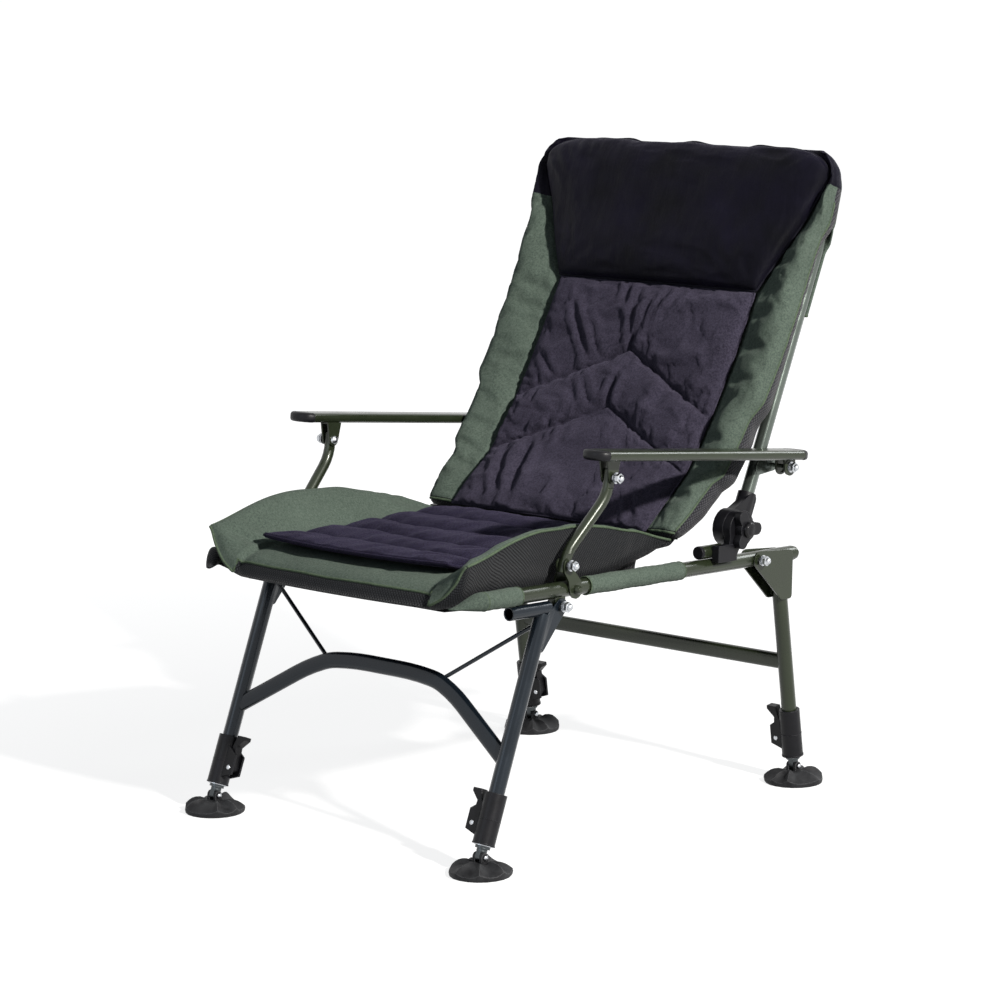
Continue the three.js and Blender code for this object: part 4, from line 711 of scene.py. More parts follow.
def spaced(start, end, count, crowd=0.0):
    """Values from start to end that crowd towards both ends."""
    t = np.linspace(0, 1, count)
    eased = (1 - np.cos(math.pi * t)) / 2
    return start + (end - start) * ((1 - crowd) * t + crowd * eased)


def object_of(name, mesh, body, node=None, slot=None):
    made = bpy.data.objects.new(name, mesh)
    bpy.context.scene.collection.objects.link(made)
    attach(made, body)
    if node:
        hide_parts(*([node] if isinstance(node, str) else node))
    return made


def loft(name, loops, looks, look_of=None):
    """A closed mesh from loops of points, (rows, points, 3), capped flat at both ends."""
    rows, count, _ = loops.shape
    half = count // 2
    index = np.arange(rows * count).reshape(rows, count)
    quads, marks = [], []
    across = np.linalg.norm(np.diff(np.concatenate([loops, loops[:, :1]], 1), axis=1), axis=2)
    u = np.concatenate([np.zeros((rows, 1)), np.cumsum(across, axis=1)], 1)
    u -= u[:, half // 2][:, None]
    down = np.linalg.norm(np.diff(loops, axis=0), axis=2).mean(1)
    v = np.concatenate([[0], np.cumsum(down)])
    corners = []
    for r in range(rows - 1):
        for c in range(count):
            n = (c + 1) % count
            quads.append((index[r, c], index[r, n], index[r + 1, n], index[r + 1, c]))
            marks.append(look_of(r, c) if look_of else 0)
            corners += [(u[r, c], v[r]), (u[r, c + 1], v[r]),
                        (u[r + 1, c + 1], v[r + 1]), (u[r + 1, c], v[r + 1])]
    for r, flip in ((0, True), (rows - 1, False)):
        for c in range(half - 1):
            d = count - 1 - c
            quad = [index[r, c], index[r, c + 1], index[r, d - 1], index[r, d]]
            past = v[r] + CAP_DEPTH
            spot = [(u[r, c], v[r]), (u[r, c + 1], v[r]), (u[r, c + 1], past), (u[r, c], past)]
            quads.append(tuple(quad if not flip else quad[::-1]))
            corners += spot if not flip else spot[::-1]
            marks.append(look_of(min(r, rows - 2), c) if look_of else 0)
    mesh = bpy.data.meshes.new(name)
    mesh.from_pydata(loops.reshape(-1, 3).tolist(), [], [tuple(map(int, q)) for q in quads])
    mesh.uv_layers.new(name="cloth").data.foreach_set("uv", np.array(corners, float).ravel())
    for look in looks:
        mesh.materials.append(look)
    mesh.polygons.foreach_set("material_index", np.array(marks, np.int32))
    mesh.polygons.foreach_set("use_smooth", np.ones(len(quads), bool))
    mesh.update()
    return mesh


def piping(name, points, radius, look, body, sides=8, slot=None):
    """A sewn cord of cloth along a line of points."""
    points = np.asarray(points, float)
    ahead = np.gradient(points, axis=0)
    ahead /= np.linalg.norm(ahead, axis=1)[:, None]
    side = np.cross(ahead[0], [0.31, 0.17, 0.93])
    rings = []
    for point, direction in zip(points, ahead):
        side = side - direction * (side @ direction)
        side /= np.linalg.norm(side)
        other = np.cross(direction, side)
        turn = 2 * math.pi * np.arange(sides) / sides
        rings.append(point + radius * (np.cos(turn)[:, None] * side + np.sin(turn)[:, None] * other))
    return object_of(name, loft(name, np.array(rings), [look]), body, slot=slot)


print("lofts and pipings ready")

# %% creases and filling
FOLD_LIFT_SHARE = 0.45
FOLD_LIFT_PLACE = 1.9
FOLD_LIFT_SPREAD = 1.1
FOLD_REACH_SHARE = 1.15
SWELL_WAVES = 7
SWELL_LEAST = 0.7
SWELL_MOST = 1.6


def folds(across, along, lines):
    """How far creases press the cloth in and lift it beside them, at each point.
    A line is (x, along, x, along, width, depth), in metres."""
    lift = np.zeros(np.broadcast(across, along).shape)
    for x0, a0, x1, a1, width, depth in lines:
        start, span = np.array([x0, a0]), np.array([x1 - x0, a1 - a0])
        length = np.linalg.norm(span)
        dx, da = across - start[0], along - start[1]
        t = np.clip((dx * span[0] + da * span[1]) / length ** 2, 0, 1)
        away = np.hypot(dx - t * span[0], da - t * span[1]) / width
        fade = np.clip(FOLD_REACH_SHARE - np.abs(2 * t - 1) ** 3, 0, 1)
        beside = np.exp(-((away - FOLD_LIFT_PLACE) / FOLD_LIFT_SPREAD) ** 2)
        lift += depth * fade * (FOLD_LIFT_SHARE * beside - np.exp(-away ** 2))
    return lift


def swell(across, along, size, height):
    """A gentle unevenness of the filling."""
    lift = np.zeros(np.broadcast(across, along).shape)
    for _ in range(SWELL_WAVES):
        angle, phase = rng.uniform(0, math.pi), rng.uniform(0, 2 * math.pi)
        wave = size * rng.uniform(SWELL_LEAST, SWELL_MOST)
        lift += np.sin((across * math.cos(angle) + along * math.sin(angle)) * 2 * math.pi / wave
                       + phase)
    return lift * height / math.sqrt(SWELL_WAVES)


def outward(grid):
    """The unit normals of a grid of points."""
    normals = np.cross(np.gradient(grid, axis=1), np.gradient(grid, axis=0))
    size = np.linalg.norm(normals, axis=2)[..., None]
    return normals / np.maximum(size, 1e-12)


print("creases and filling ready")

# %% [markdown]
# ## Letting cloth settle
# Blender's cloth simulation gives the small wrinkles that no formula has. The filling pushes
# from inside, and the sewn lines hold. The cloth is cut a little too large, as a sewn cover
# is. Its moves are capped, so the piece keeps the size that it was modelled in.

# %% settling
CLOTH_QUALITY = 5
CLOTH_MASS = 0.25
CLOTH_TENSION = 18
CLOTH_COMPRESSION = 10
CLOTH_SHEAR = 6
CLOTH_BENDING = 0.3
CLOTH_PIN = 5


def cloth_points(made):
    points = np.empty(len(made.data.vertices) * 3)
    made.data.vertices.foreach_get("co", points)
    return points.reshape(-1, 3)


def stuffed(made, held, pressure, growth, furthest):
    """Lets a cloth settle under its filling's pressure, held where held is 1."""
    start = cloth_points(made)
    group = made.vertex_groups.new(name="held")
    for level in np.unique(np.round(held, 1)):
        if level > 0:
            group.add(np.flatnonzero(np.round(held, 1) == level).tolist(), float(level), "REPLACE")
    cloth = made.modifiers.new("settle", "CLOTH")
    cloth.settings.vertex_group_mass = "held"
    cloth.settings.quality = CLOTH_QUALITY
    cloth.settings.mass = CLOTH_MASS
    cloth.settings.tension_stiffness = CLOTH_TENSION
    cloth.settings.compression_stiffness = CLOTH_COMPRESSION
    cloth.settings.shear_stiffness = CLOTH_SHEAR
    cloth.settings.bending_stiffness = CLOTH_BENDING
    cloth.settings.pin_stiffness = CLOTH_PIN
    cloth.settings.shrink_min = -growth
    cloth.settings.use_pressure = True
    cloth.settings.uniform_pressure_force = pressure
    cloth.settings.effector_weights.gravity = 0
    cloth.collision_settings.use_collision = False
    scene = bpy.context.scene
    for step in range(1, SETTLE_STEPS + 1):
        scene.frame_set(step)
    settled = made.evaluated_get(bpy.context.evaluated_depsgraph_get()).data
    moved = np.empty(len(start) * 3)
    settled.vertices.foreach_get("co", moved)
    move = moved.reshape(-1, 3) - start
    made.modifiers.remove(cloth)
    scene.frame_set(1)
    size = np.linalg.norm(move, axis=1)[:, None]
    move *= np.minimum(1, furthest / np.maximum(size, furthest))
    made.data.vertices.foreach_set("co", (start + move).ravel())
    made.data.update()
    print(f"{made.name}: settled by up to {size.max() * 1000:.1f} mm")


print("settling ready:", SETTLE_STEPS, "steps")

# %% [markdown]
# ## The seat
# Its middle is flat and its two wings turn up. The green cloth covers the top and the front
# lip. A black cloth with raised diamonds covers the wings' outer faces and the underside, and
# a green piping closes the edge between them.

# %% seat mattress's shape
WING_STATIONS = [0, 0.2, 0.45, 0.7, 0.87, 1]
WING_TOP_WIDTHS = [0, 0.2, 0.48, 0.74, 0.9, 0.985]
WING_TOP_HEIGHTS = [0, 0.1, 0.45, 0.84, 0.985, 1]
WING_UNDER_WIDTHS = [0, 0.1, 0.5, 0.8, 0.97, 1]
WING_UNDER_HEIGHTS = [0, 0.01, 0.1, 0.34, 0.84, 0.965]
SEAT_ROWS = 96
WING_TAPER_FROM = 0.66
WING_TAPER = 0.93
LIP_BAND_ROWS = 3
LIP_BAND_SPREAD = 1.12
FLAT_COLUMNS = 15
WING_COLUMNS = 20


def seat_surface(along):
    return SEAT_TOP + SEAT_REAR_RISE * along / SEAT_REAR


def seat_front_at(x):
    return SEAT_FRONT + SEAT_CORNER_SETBACK * (x / WING_EDGE) ** 2


def wing_rise(along):
    share = (along - SEAT_FRONT) / (SEAT_REAR - SEAT_FRONT)
    return curve_at(WING_PLACE_SHARES, WING_RISES, share)


def seat_columns():
    """Signed places across the seat: up to 1 is the flat middle, from 1 to 2 the wing."""
    inner = np.linspace(0, 1, FLAT_COLUMNS)[1:]
    outer = 1 + spaced(0, 1, WING_COLUMNS, 0.35)[1:]
    half = np.concatenate([inner, outer])
    return np.concatenate([-half[::-1], [0], half])


def seat_face(columns, rows, upper):
    side, spread = np.sign(columns), np.abs(columns)
    wing = np.clip(spread - 1, 0, 1)
    widths, heights = ((WING_TOP_WIDTHS, WING_TOP_HEIGHTS) if upper
                       else (WING_UNDER_WIDTHS, WING_UNDER_HEIGHTS))
    outer = SEAT_CREASE + (WING_EDGE - SEAT_CREASE) * curve_at(WING_STATIONS, widths, wing)
    x = side * np.where(spread <= 1, SEAT_CREASE * spread, outer)
    climb = curve_at(WING_STATIONS, heights, wing)
    front = seat_front_at(x)[None, :]
    along = front + (SEAT_REAR - front) * rows[:, None]
    inside = np.clip(1 - (along - front) / SEAT_LIP_DEPTH, 0, 1)
    drop = SEAT_LIP_DROP * (1 - np.sqrt(1 - inside ** 2))
    foot = seat_surface(along) - drop if upper else np.full_like(along, SEAT_BOTTOM)
    up = foot + (wing_rise(along) - foot) * climb[None, :]
    if not upper:
        share = np.clip((rows[:, None] - WING_TAPER_FROM) / (1 - WING_TAPER_FROM), 0, 1)
        up = up + (wing_rise(along) - up) * WING_TAPER * share ** 1.5 * np.sqrt(wing)[None, :]
    return np.broadcast_to(x[None, :], along.shape), along, up


def closed_up(upper, under, reach, ends, round_reach, least=0):
    """Draws the two faces together near both ends, as a rounded edge."""
    middle = (upper + under) / 2
    near = np.clip(np.minimum(reach - ends[0], ends[1] - reach) / round_reach, 0, 1)
    open_share = least + (1 - least) * np.sqrt(1 - (1 - near) ** 2)[..., None]
    return middle + (upper - middle) * open_share, middle + (under - middle) * open_share


print("seat mattress's shape ready")

# %% seat mattress
# creases of one wing, mirrored on the other: (x, along, x, along, width, depth)
WING_CREASES = [
    (0.236, -0.018, 0.192, 0.018, 0.007, 0.0035),
    (0.232, 0.03, 0.19, 0.05, 0.009, 0.0016),
    (0.24, 0.16, 0.2, 0.2, 0.010, 0.0014),
    (0.236, 0.33, 0.192, 0.37, 0.006, 0.003),
    (0.225, 0.355, 0.188, 0.385, 0.005, 0.003),
    (0.243, 0.30, 0.2, 0.35, 0.006, 0.002),
]
LIP_CREASES = [
    (0.087, -0.036, 0.079, 0.006, 0.004, 0.0045),
    (-0.06, -0.038, -0.058, -0.008, 0.005, 0.002),
    (0.19, -0.026, 0.17, 0.004, 0.005, 0.0025),
    (-0.19, -0.026, -0.168, 0.002, 0.005, 0.0025),
]
SEAM_TUCKS = (0.02, 0.38, 0.022)
SEAM_TUCK_FROM = 0.1845
SEAM_TUCK_SHIFT = 0.006
SEAM_TUCK_REACHES = (0.008, 0.018)
SEAM_TUCK_TURN = 0.004
SEAM_TUCK_WIDTH = 0.0032
SEAM_TUCK_DEPTHS = (0.0006, 0.0014)
SEAT_SWELL_SIZE = 0.07
SEAT_SWELL = 0.0009
WING_PUFF = 0.003
CREASE_DIP = 0.004
CREASE_DIP_SPREAD = 0.055
UNDER_SAG = 0.0012


def seat_creases():
    lines = []
    for side in (-1, 1):
        lines += [(side * x0, a0, side * x1, a1, width, depth)
                  for x0, a0, x1, a1, width, depth in WING_CREASES]
    lines += LIP_CREASES
    for side in (-1, 1):
        for start in np.arange(*SEAM_TUCKS):
            along = start + rng.uniform(-SEAM_TUCK_SHIFT, SEAM_TUCK_SHIFT)
            reach = rng.uniform(*SEAM_TUCK_REACHES)
            lines.append((side * SEAM_TUCK_FROM, along, side * (SEAM_TUCK_FROM + reach),
                          along + rng.uniform(-SEAM_TUCK_TURN, SEAM_TUCK_TURN),
                          SEAM_TUCK_WIDTH, rng.uniform(*SEAM_TUCK_DEPTHS)))
    return lines


def seat_mattress():
    columns = seat_columns()
    rows = spaced(0, 1, SEAT_ROWS, 0.45)
    x, along, up = seat_face(columns, rows, True)
    lift = folds(x, along, seat_creases()) + swell(x, along, SEAT_SWELL_SIZE, SEAT_SWELL)
    spread = np.abs(columns)[None, :]
    puff = WING_PUFF * (np.clip((spread - 1) / 0.06, 0, 1) * np.clip((2 - spread) / 0.25, 0, 1))
    dip = -CREASE_DIP * np.exp(-((spread - 1) / CREASE_DIP_SPREAD) ** 2)
    upper = SEAT.place(x, along, up)
    normals = outward(upper)
    normals *= np.sign(normals[..., 2:3] + 1e-9)
    upper = upper + normals * (lift + dip + puff)[..., None]
    ux, ualong, uup = seat_face(columns, rows, False)
    sag = -UNDER_SAG * np.sin(math.pi * np.clip(rows, 0, 1))[:, None] * (spread < 1)
    under = SEAT.place(ux, ualong, uup + sag)
    upper, under = closed_up(upper, under, along, (seat_front_at(x), SEAT_REAR), SEAT_END_ROUND)
    rim = (upper[:, [0, -1]] + under[:, [0, -1]]) / 2
    upper[:, [0, -1]] = rim
    under[:, [0, -1]] = rim
    loops = np.concatenate([upper, under[:, ::-1]], 1)
    count = len(columns)

    def lip_band(r, c):
        return r < LIP_BAND_ROWS and abs(columns[c]) < LIP_BAND_SPREAD

    mesh = loft("seat_mattress_cloth", loops, [GREEN, BLACK_CLOTH],
                lambda r, c: 0 if c < count - 1 and not lip_band(r, c) else 1)
    made = object_of("seat_mattress_cloth", mesh, "seat_frame", "seat_mattress", "green_fabric")
    return made, upper, under


seat_cloth, seat_upper, seat_under = seat_mattress()
for side, column in (("right", 0), ("left", -1)):
    piping(f"wing_piping_{side}", seat_upper[1:-1, column], PIPING_RADIUS, PIPING, "seat_frame",
           slot="green_fabric")
lip_row = np.where(np.abs(seat_columns()) < LIP_BAND_SPREAD, LIP_BAND_ROWS, 0)
piping("lip_piping", seat_upper[lip_row, np.arange(len(lip_row))], PIPING_RADIUS, PIPING,
       "seat_frame", slot="green_fabric")
print("seat mattress:", len(seat_cloth.data.polygons), "faces")

# %% [markdown]
# ## The quilted mat on the seat
# Five rolls run across it, with a sewn channel between each two. Its front edge curls up
# from the lip. It could be five cushions, but the real one is a single cover that is sewn
# through, so one closed cloth with pinched channels is nearer to it.

# %% seat mat
MAT_COLUMNS = 61
MAT_ROWS_PER_ROLL = 15
MAT_TUCKS = 2
MAT_BOW = 0.005
MAT_TUCK_HALF = 0.16
MAT_TUCK_TURN = 0.008
MAT_TUCK_REACHES = (0.012, 0.03)
MAT_TUCK_WIDTH = 0.0035
MAT_TUCK_DEPTHS = (0.0006, 0.0018)
# long creases of the mat as the photograph shows them: (x, along, x, along, width, depth)
MAT_CREASES = [
    (-0.15, 0.02, -0.10, 0.035, 0.006, 0.002),
    (0.02, 0.0, 0.05, 0.05, 0.007, 0.002),
    (0.11, 0.02, 0.165, 0.06, 0.006, 0.003),
    (0.10, 0.11, 0.17, 0.15, 0.006, 0.0025),
    (-0.16, 0.14, -0.09, 0.13, 0.007, 0.002),
    (0.05, 0.20, 0.13, 0.23, 0.008, 0.002),
]
MAT_SWELL_SIZE = 0.05
MAT_SWELL = 0.0009
MAT_EDGE_PLAY = 0.0005
MAT_EDGE_ROUND = 0.004
MAT_FILL = 5
MAT_GROWTH_SHARE = 0.012
MAT_SETTLE = 0.003


def roll_share(share):
    return np.sqrt(np.maximum(np.sin(math.pi * share), 0))


def fullness(share, power=5):
    return np.sqrt(np.clip(1 - np.abs(share) ** power, 0, 1))


def outline(grid):
    """The points round the edge of a grid, once round."""
    return np.concatenate([grid[0], grid[1:, -1], grid[-1, -2::-1], grid[-2::-1, 0]])


def mat_creases():
    """Small tucks at the sewn channels, and the longer creases of the photograph."""
    lines = []
    for i in range(1, MAT_ROLLS):
        place = MAT_FRONT + (MAT_REAR - MAT_FRONT) * i / MAT_ROLLS
        for _ in range(MAT_TUCKS):
            at_x = rng.uniform(-MAT_TUCK_HALF, MAT_TUCK_HALF)
            way = rng.choice([-1, 1])
            lines.append((at_x, place, at_x + rng.uniform(-MAT_TUCK_TURN, MAT_TUCK_TURN),
                          place + way * rng.uniform(*MAT_TUCK_REACHES), MAT_TUCK_WIDTH,
                          rng.uniform(*MAT_TUCK_DEPTHS)))
    return lines + MAT_CREASES


def seat_mat():
    columns = spaced(-1, 1, MAT_COLUMNS, 0.5)[None, :]
    rows = np.linspace(0, MAT_ROLLS, MAT_ROLLS * MAT_ROWS_PER_ROLL + 1)[:, None]
    front = MAT_FRONT + MAT_CORNER_SETBACK * columns ** 2
    bow = MAT_BOW * np.sin(rows * 2.1 + columns * 3.4) * np.sin(math.pi * rows / MAT_ROLLS)
    along = front + (MAT_REAR - front) * rows / MAT_ROLLS + bow
    x = columns * MAT_HALF + 0 * rows
    across_share = fullness(columns, 7)
    inner_seam = (rows > 0) & (rows < MAT_ROLLS)
    seam = np.where(inner_seam, MAT_SEAM, MAT_RIM)
    height = seam + (MAT_THICKNESS - seam) * roll_share(rows % 1)
    rise = MAT_RIM + (height - MAT_RIM) * across_share
    ends = np.clip(np.minimum(rows, MAT_ROLLS - rows) / 0.12, 0, 1)
    uneven = folds(x, along, mat_creases()) + swell(x, along, MAT_SWELL_SIZE, MAT_SWELL)
    lift = uneven * across_share * ends
    base = seat_surface(along) + SOFT_GAP + MAT_CURL * np.exp(-rows / MAT_CURL_REACH)
    inside = np.clip(1 - (along - seat_front_at(x)) / SEAT_LIP_DEPTH, 0, 1)
    sag = 0.35 * SEAT_LIP_DROP * (1 - np.sqrt(1 - inside ** 2))
    upper = SEAT.place(x, along, base - sag + rise + lift)
    under = SEAT.place(x, along, base - sag)
    sides = (-MAT_HALF - MAT_EDGE_PLAY, MAT_HALF + MAT_EDGE_PLAY)
    upper, under = closed_up(upper, under, x, sides, MAT_EDGE_ROUND)
    loops = np.concatenate([upper, under[:, ::-1]], 1)
    made = object_of("seat_mat_cloth", loft("seat_mat_cloth", loops, [SHADED_MAT_CLOTH]), "seat_frame",
                     "seat_mat", "dark_fabric")
    count = columns.size
    held = np.ones(loops.shape[:2])
    held[:, 2:count - 2] = 0
    held[:, :count] = np.maximum(held[:, :count], np.clip(-lift / CREASE_HOLD, 0, 1))
    held[::MAT_ROWS_PER_ROLL] = 1
    held[:, count:] = 1
    stuffed(made, held.ravel(), MAT_FILL, MAT_GROWTH_SHARE, MAT_SETTLE)
    piping("seat_mat_binding", (outline(upper) + outline(under)) / 2, PIPING_RADIUS, SHADED_MAT_CLOTH,
           "seat_frame", slot="dark_fabric")
    return made


mat_cloth = seat_mat()
print("seat mat:", len(mat_cloth.data.polygons), "faces")

# %% [markdown]
# ## The sling under the seat
# Two cloth sleeves a side slide over the rails and carry the seat. Between them a dark sheet
# runs across under the mattress. A flat sheet alone would leave the rails bare, so each
# sleeve is a thin tube of its own, with a hem at both ends and small rucks along it.

# %% sling
SLING_FRONT = -0.004
SLING_REAR = 0.402
SLING_NOTCH = (0.063, 0.201)
SLING_NOTCH_EDGE = 0.232
SLING_SLEEVE_RADIUS = 0.0126
SLING_THICKNESS = 0.0022
TAB_REACH = 0.036
TAB_INWARDS = 0.026
TAB_DROP = 0.010
TAB_ROOT = 1.04
TAB_TIP_WIDTH = 0.35
TAB_TIP_THICKNESS = 0.1
TAB_ROWS = 16
SLEEVE_ROWS = 44
SLEEVE_POINTS = 28
SLEEVE_END_ROUND = 0.006
SLEEVE_FINE_RUCK = 0.0002
SLEEVE_RUCK = 0.0004
SLEEVE_SLACK = 0.0005
SLEEVE_PLAY = 0.0003
HEM_RADIUS = 0.0009


def full_turn(points):
    return np.linspace(0, 2 * math.pi, points, endpoint=False)[None, :]


def sleeve_loops(side, start, end):
    """A sleeve round the rail, a little slack, with rucks along it."""
    along = np.linspace(start, end, SLEEVE_ROWS)[:, None]
    turn = full_turn(SLEEVE_POINTS)
    ends = np.clip(np.minimum(along - start, end - along) / SLEEVE_END_ROUND, 0, 1)
    ruck = SLEEVE_FINE_RUCK * np.sin(along * 420 + 3 * np.sin(turn + side)) + \
        SLEEVE_RUCK * np.sin(along * 90 + 2 * turn)
    radius = SLING_SLEEVE_RADIUS + (ruck + SLEEVE_SLACK) * ends
    x = side * (RAIL_HALF_SPREAD + radius * np.cos(turn))
    return SEAT.place(x, along + 0 * turn, radius * np.sin(turn))


def front_tab(side, word):
    """The sleeve's closed front end: it flattens into a corner sewn under the seat's lip."""
    share = np.linspace(0, 1, TAB_ROWS)[:, None]
    turn = full_turn(SLEEVE_POINTS)
    eased = share * share * (3 - 2 * share)
    wide = SLING_SLEEVE_RADIUS * (TAB_ROOT + (TAB_TIP_WIDTH - TAB_ROOT) * share ** 2)
    thick = SLING_SLEEVE_RADIUS * (TAB_ROOT + (TAB_TIP_THICKNESS - TAB_ROOT) * eased)
    x = side * (RAIL_HALF_SPREAD - TAB_INWARDS * share + wide * np.cos(turn))
    up = -TAB_DROP * eased + thick * np.sin(turn)
    loops = SEAT.place(x, SLING_FRONT - TAB_REACH * share + 0 * turn, up)
    name = f"sleeve_tab_{word}"
    # the right tab gets the black cloth instead of the green: painted shade, as that side lies in
    # shade
    mesh = loft(name, loops[::-1], [GREEN if side > 0 else BLACK_CLOTH])
    return object_of(name, mesh, "seat_frame", slot="green_fabric")


def shell(name, outer, inner, look):
    """A tube of cloth with a wall, from its outer and inner rings."""
    rows, count, _ = outer.shape
    points = np.concatenate([outer.reshape(-1, 3), inner.reshape(-1, 3)])
    a = np.arange(rows * count).reshape(rows, count)
    b = a + rows * count
    quads, corners = [], []
    u = np.arange(count + 1) * np.linalg.norm(outer[0, 1] - outer[0, 0])
    v = np.linspace(0, np.linalg.norm(outer[-1, 0] - outer[0, 0]), rows)
    for r in range(rows - 1):
        for c in range(count):
            n = (c + 1) % count
            spot = [(u[c], v[r]), (u[c + 1], v[r]), (u[c + 1], v[r + 1]), (u[c], v[r + 1])]
            quads.append((a[r, c], a[r, n], a[r + 1, n], a[r + 1, c]))
            corners += spot
            quads.append((b[r, c], b[r + 1, c], b[r + 1, n], b[r, n]))
            corners += [spot[0], spot[3], spot[2], spot[1]]
    for r, flip in ((0, False), (rows - 1, True)):
        for c in range(count):
            n = (c + 1) % count
            quad = [a[r, c], b[r, c], b[r, n], a[r, n]]
            quads.append(tuple(quad[::-1] if flip else quad))
            corners += [(u[c], v[r])] * 4
    mesh = bpy.data.meshes.new(name)
    mesh.from_pydata(points.tolist(), [], [tuple(map(int, q)) for q in quads])
    mesh.uv_layers.new(name="cloth").data.foreach_set("uv", np.array(corners, float).ravel())
    mesh.materials.append(look)
    mesh.polygons.foreach_set("use_smooth", np.ones(len(quads), bool))
    mesh.update()
    return mesh


def rail_sleeve(side, start, end, name):
    """A cloth tube round a rail, with a hem at each end."""
    loops = sleeve_loops(side, start, end)
    turn = full_turn(SLEEVE_POINTS)
    along = np.linspace(start, end, SLEEVE_ROWS)[:, None]
    bore = RAIL_RADIUS + SLEEVE_PLAY
    inner = SEAT.place(side * (RAIL_HALF_SPREAD + bore * np.cos(turn)), along + 0 * turn,
                       bore * np.sin(turn))
    made = object_of(name, shell(name, loops, inner, GREEN), "seat_frame", slot="green_fabric")
    for edge, mark in ((0, "hem_front"), (-1, "hem_rear")):
        rim = loops[edge]
        piping(f"{name}_{mark}", np.concatenate([rim, rim[:2]]), HEM_RADIUS, PIPING,
               "seat_frame", 6, "green_fabric")
    return made


for side, word in ((1, "left"), (-1, "right")):
    for start, end, place in ((SLING_FRONT, SLING_NOTCH[0], "front"),
                              (SLING_NOTCH[1], SLING_REAR, "rear")):
        rail_sleeve(side, start, end, f"rail_sleeve_{place}_{word}")
    front_tab(side, word)

# %% sling sheet
SHEET_ROWS = 60
SHEET_COLUMNS = 41
SHEET_DROP = 0.0016
SHEET_FLAT_HALF = 0.19
SHEET_EDGE_INSET = 0.0076
SHEET_EDGE_UP = -0.0085
SHEET_SAG = 0.002


def sling_sheet():
    """The dark sheet under the mattress, notched at the sides to clear the armrests' feet."""
    along = np.linspace(SLING_FRONT, SLING_REAR, SHEET_ROWS)[:, None]
    edge = np.where((along > SLING_NOTCH[0]) & (along < SLING_NOTCH[1]), SLING_NOTCH_EDGE,
                    RAIL_HALF_SPREAD - SLING_SLEEVE_RADIUS * 0.6)
    across = np.linspace(-1, 1, SHEET_COLUMNS)[None, :]
    x = across * edge
    flat_top = SEAT_BOTTOM - SOFT_GAP - SHEET_DROP
    climb_run = RAIL_HALF_SPREAD - SHEET_EDGE_INSET - SHEET_FLAT_HALF
    climb = np.clip((np.abs(x) - SHEET_FLAT_HALF) / climb_run, 0, 1)
    share = (along - SLING_FRONT) / (SLING_REAR - SLING_FRONT)
    sag = -SHEET_SAG * np.cos(across * math.pi / 2) * np.sin(math.pi * share)
    up = flat_top + (SHEET_EDGE_UP - flat_top) * climb + sag
    upper = SEAT.place(x, along + 0 * x, up)
    under = SEAT.place(x, along + 0 * x, up - SLING_THICKNESS)
    loops = np.concatenate([upper, under[:, ::-1]], 1)
    made = object_of("seat_sling_cloth", loft("seat_sling_cloth", loops, [BLACK_CLOTH]),
                     "seat_frame", "seat_sling", "dark_fabric")
    return made


sheet = sling_sheet()
print("sling sheet:", len(sheet.data.polygons), "faces")

# %% [markdown]
# ## The back
# The mattress has a flat middle and a green roll down each side. The pad in front of it is
# quilted in two chevrons, and a satin pillow covers the head. A band of diamond mesh closes
# the mattress's outer edges. The rolls change their width and height on the way up, so each
# row of the mattress is a loop of its own instead of one section that is pushed upwards.

# %% back mattress's shape
BACK_ROWS = 150
BOLSTER_COLUMNS = 22
WALL_COLUMNS = 9
BACK_END_ROUND = 0.014
ROLL_TUCK_STEP = 0.045
ROLL_PLACES = [0, 0.1, 0.28, 0.55, 0.8, 0.93, 1]
ROLL_RISES = [-0.12, 0.2, 0.45, 0.82, 1, 0.84, 0.35]
WALL_BULGE = 0.004
WALL_RIPPLE = 0.0006
REAR_INSET = 0.004
SATIN_FROM = 0.495
SATIN_SLANT = 0.02
BLACK_FOOT_TO = -0.04
HEAD_CREASE_UP = 0.520
CREASE_TO_EDGE = 0.0065
ROLL_CREASE_UPS = {
    -1: (0.028, 0.062, 0.098, 0.205, 0.292, 0.330),
    1: (0.020, 0.07, 0.115, 0.210, 0.262, 0.318, 0.352, 0.40),
}
ROLL_CREASE_TILTS = (-0.010, 0.004)
ROLL_CREASE_STARTS = (0.196, 0.212)
ROLL_CREASE_ENDS = (0.236, 0.256)
ROLL_CREASE_WIDTHS = (0.005, 0.009)
ROLL_CREASE_DEPTHS = (0.0022, 0.0045)
ROLL_TUCKS_TO = 0.36
ROLL_TUCK_SHIFT = 0.01
ROLL_TUCK_WIDTH = 0.0035
ROLL_TUCK_DEPTHS = (0.0006, 0.0016)
INNER_TUCK_FROM = 0.193
INNER_TUCK_ENDS = (0.2, 0.214)
INNER_TUCK_TURN = 0.006
OUTER_TUCK_FROM = 0.257
OUTER_TUCK_UP = 0.012
OUTER_TUCK_ENDS = (0.238, 0.25)
OUTER_TUCK_TURNS = (0.004, 0.02)


def back_bend(up):
    return np.maximum(up - BACK_BEND_UP, 0) * math.tan(BACK_BEND)


def back_front(up):
    share = (up - BACK_BOTTOM) / (BACK_TOP - BACK_BOTTOM)
    return -curve_at(BACK_PLACE_SHARES, BACK_REACHES, share) - back_bend(up)


def back_rear(up):
    thickness = np.interp(up, [BACK_BOTTOM, 0], [BACK_FOOT_THICKNESS, BACK_THICKNESS])
    tube_front = TUBE_SETBACK - back_bend(up) - TUBE_RADIUS - SOFT_GAP
    return np.minimum(back_front(up) + thickness, tube_front)


def back_half(up):
    return curve_at(BACK_WIDTH_PLACES, BACK_HALF_WIDTHS, up)


def crease_half(up):
    crease = np.interp(up, [PAD_TOP, HEAD_CREASE_UP], [BACK_CREASE, PILLOW_HEAD_HALF])
    return np.minimum(crease, back_half(up) - CREASE_TO_EDGE)


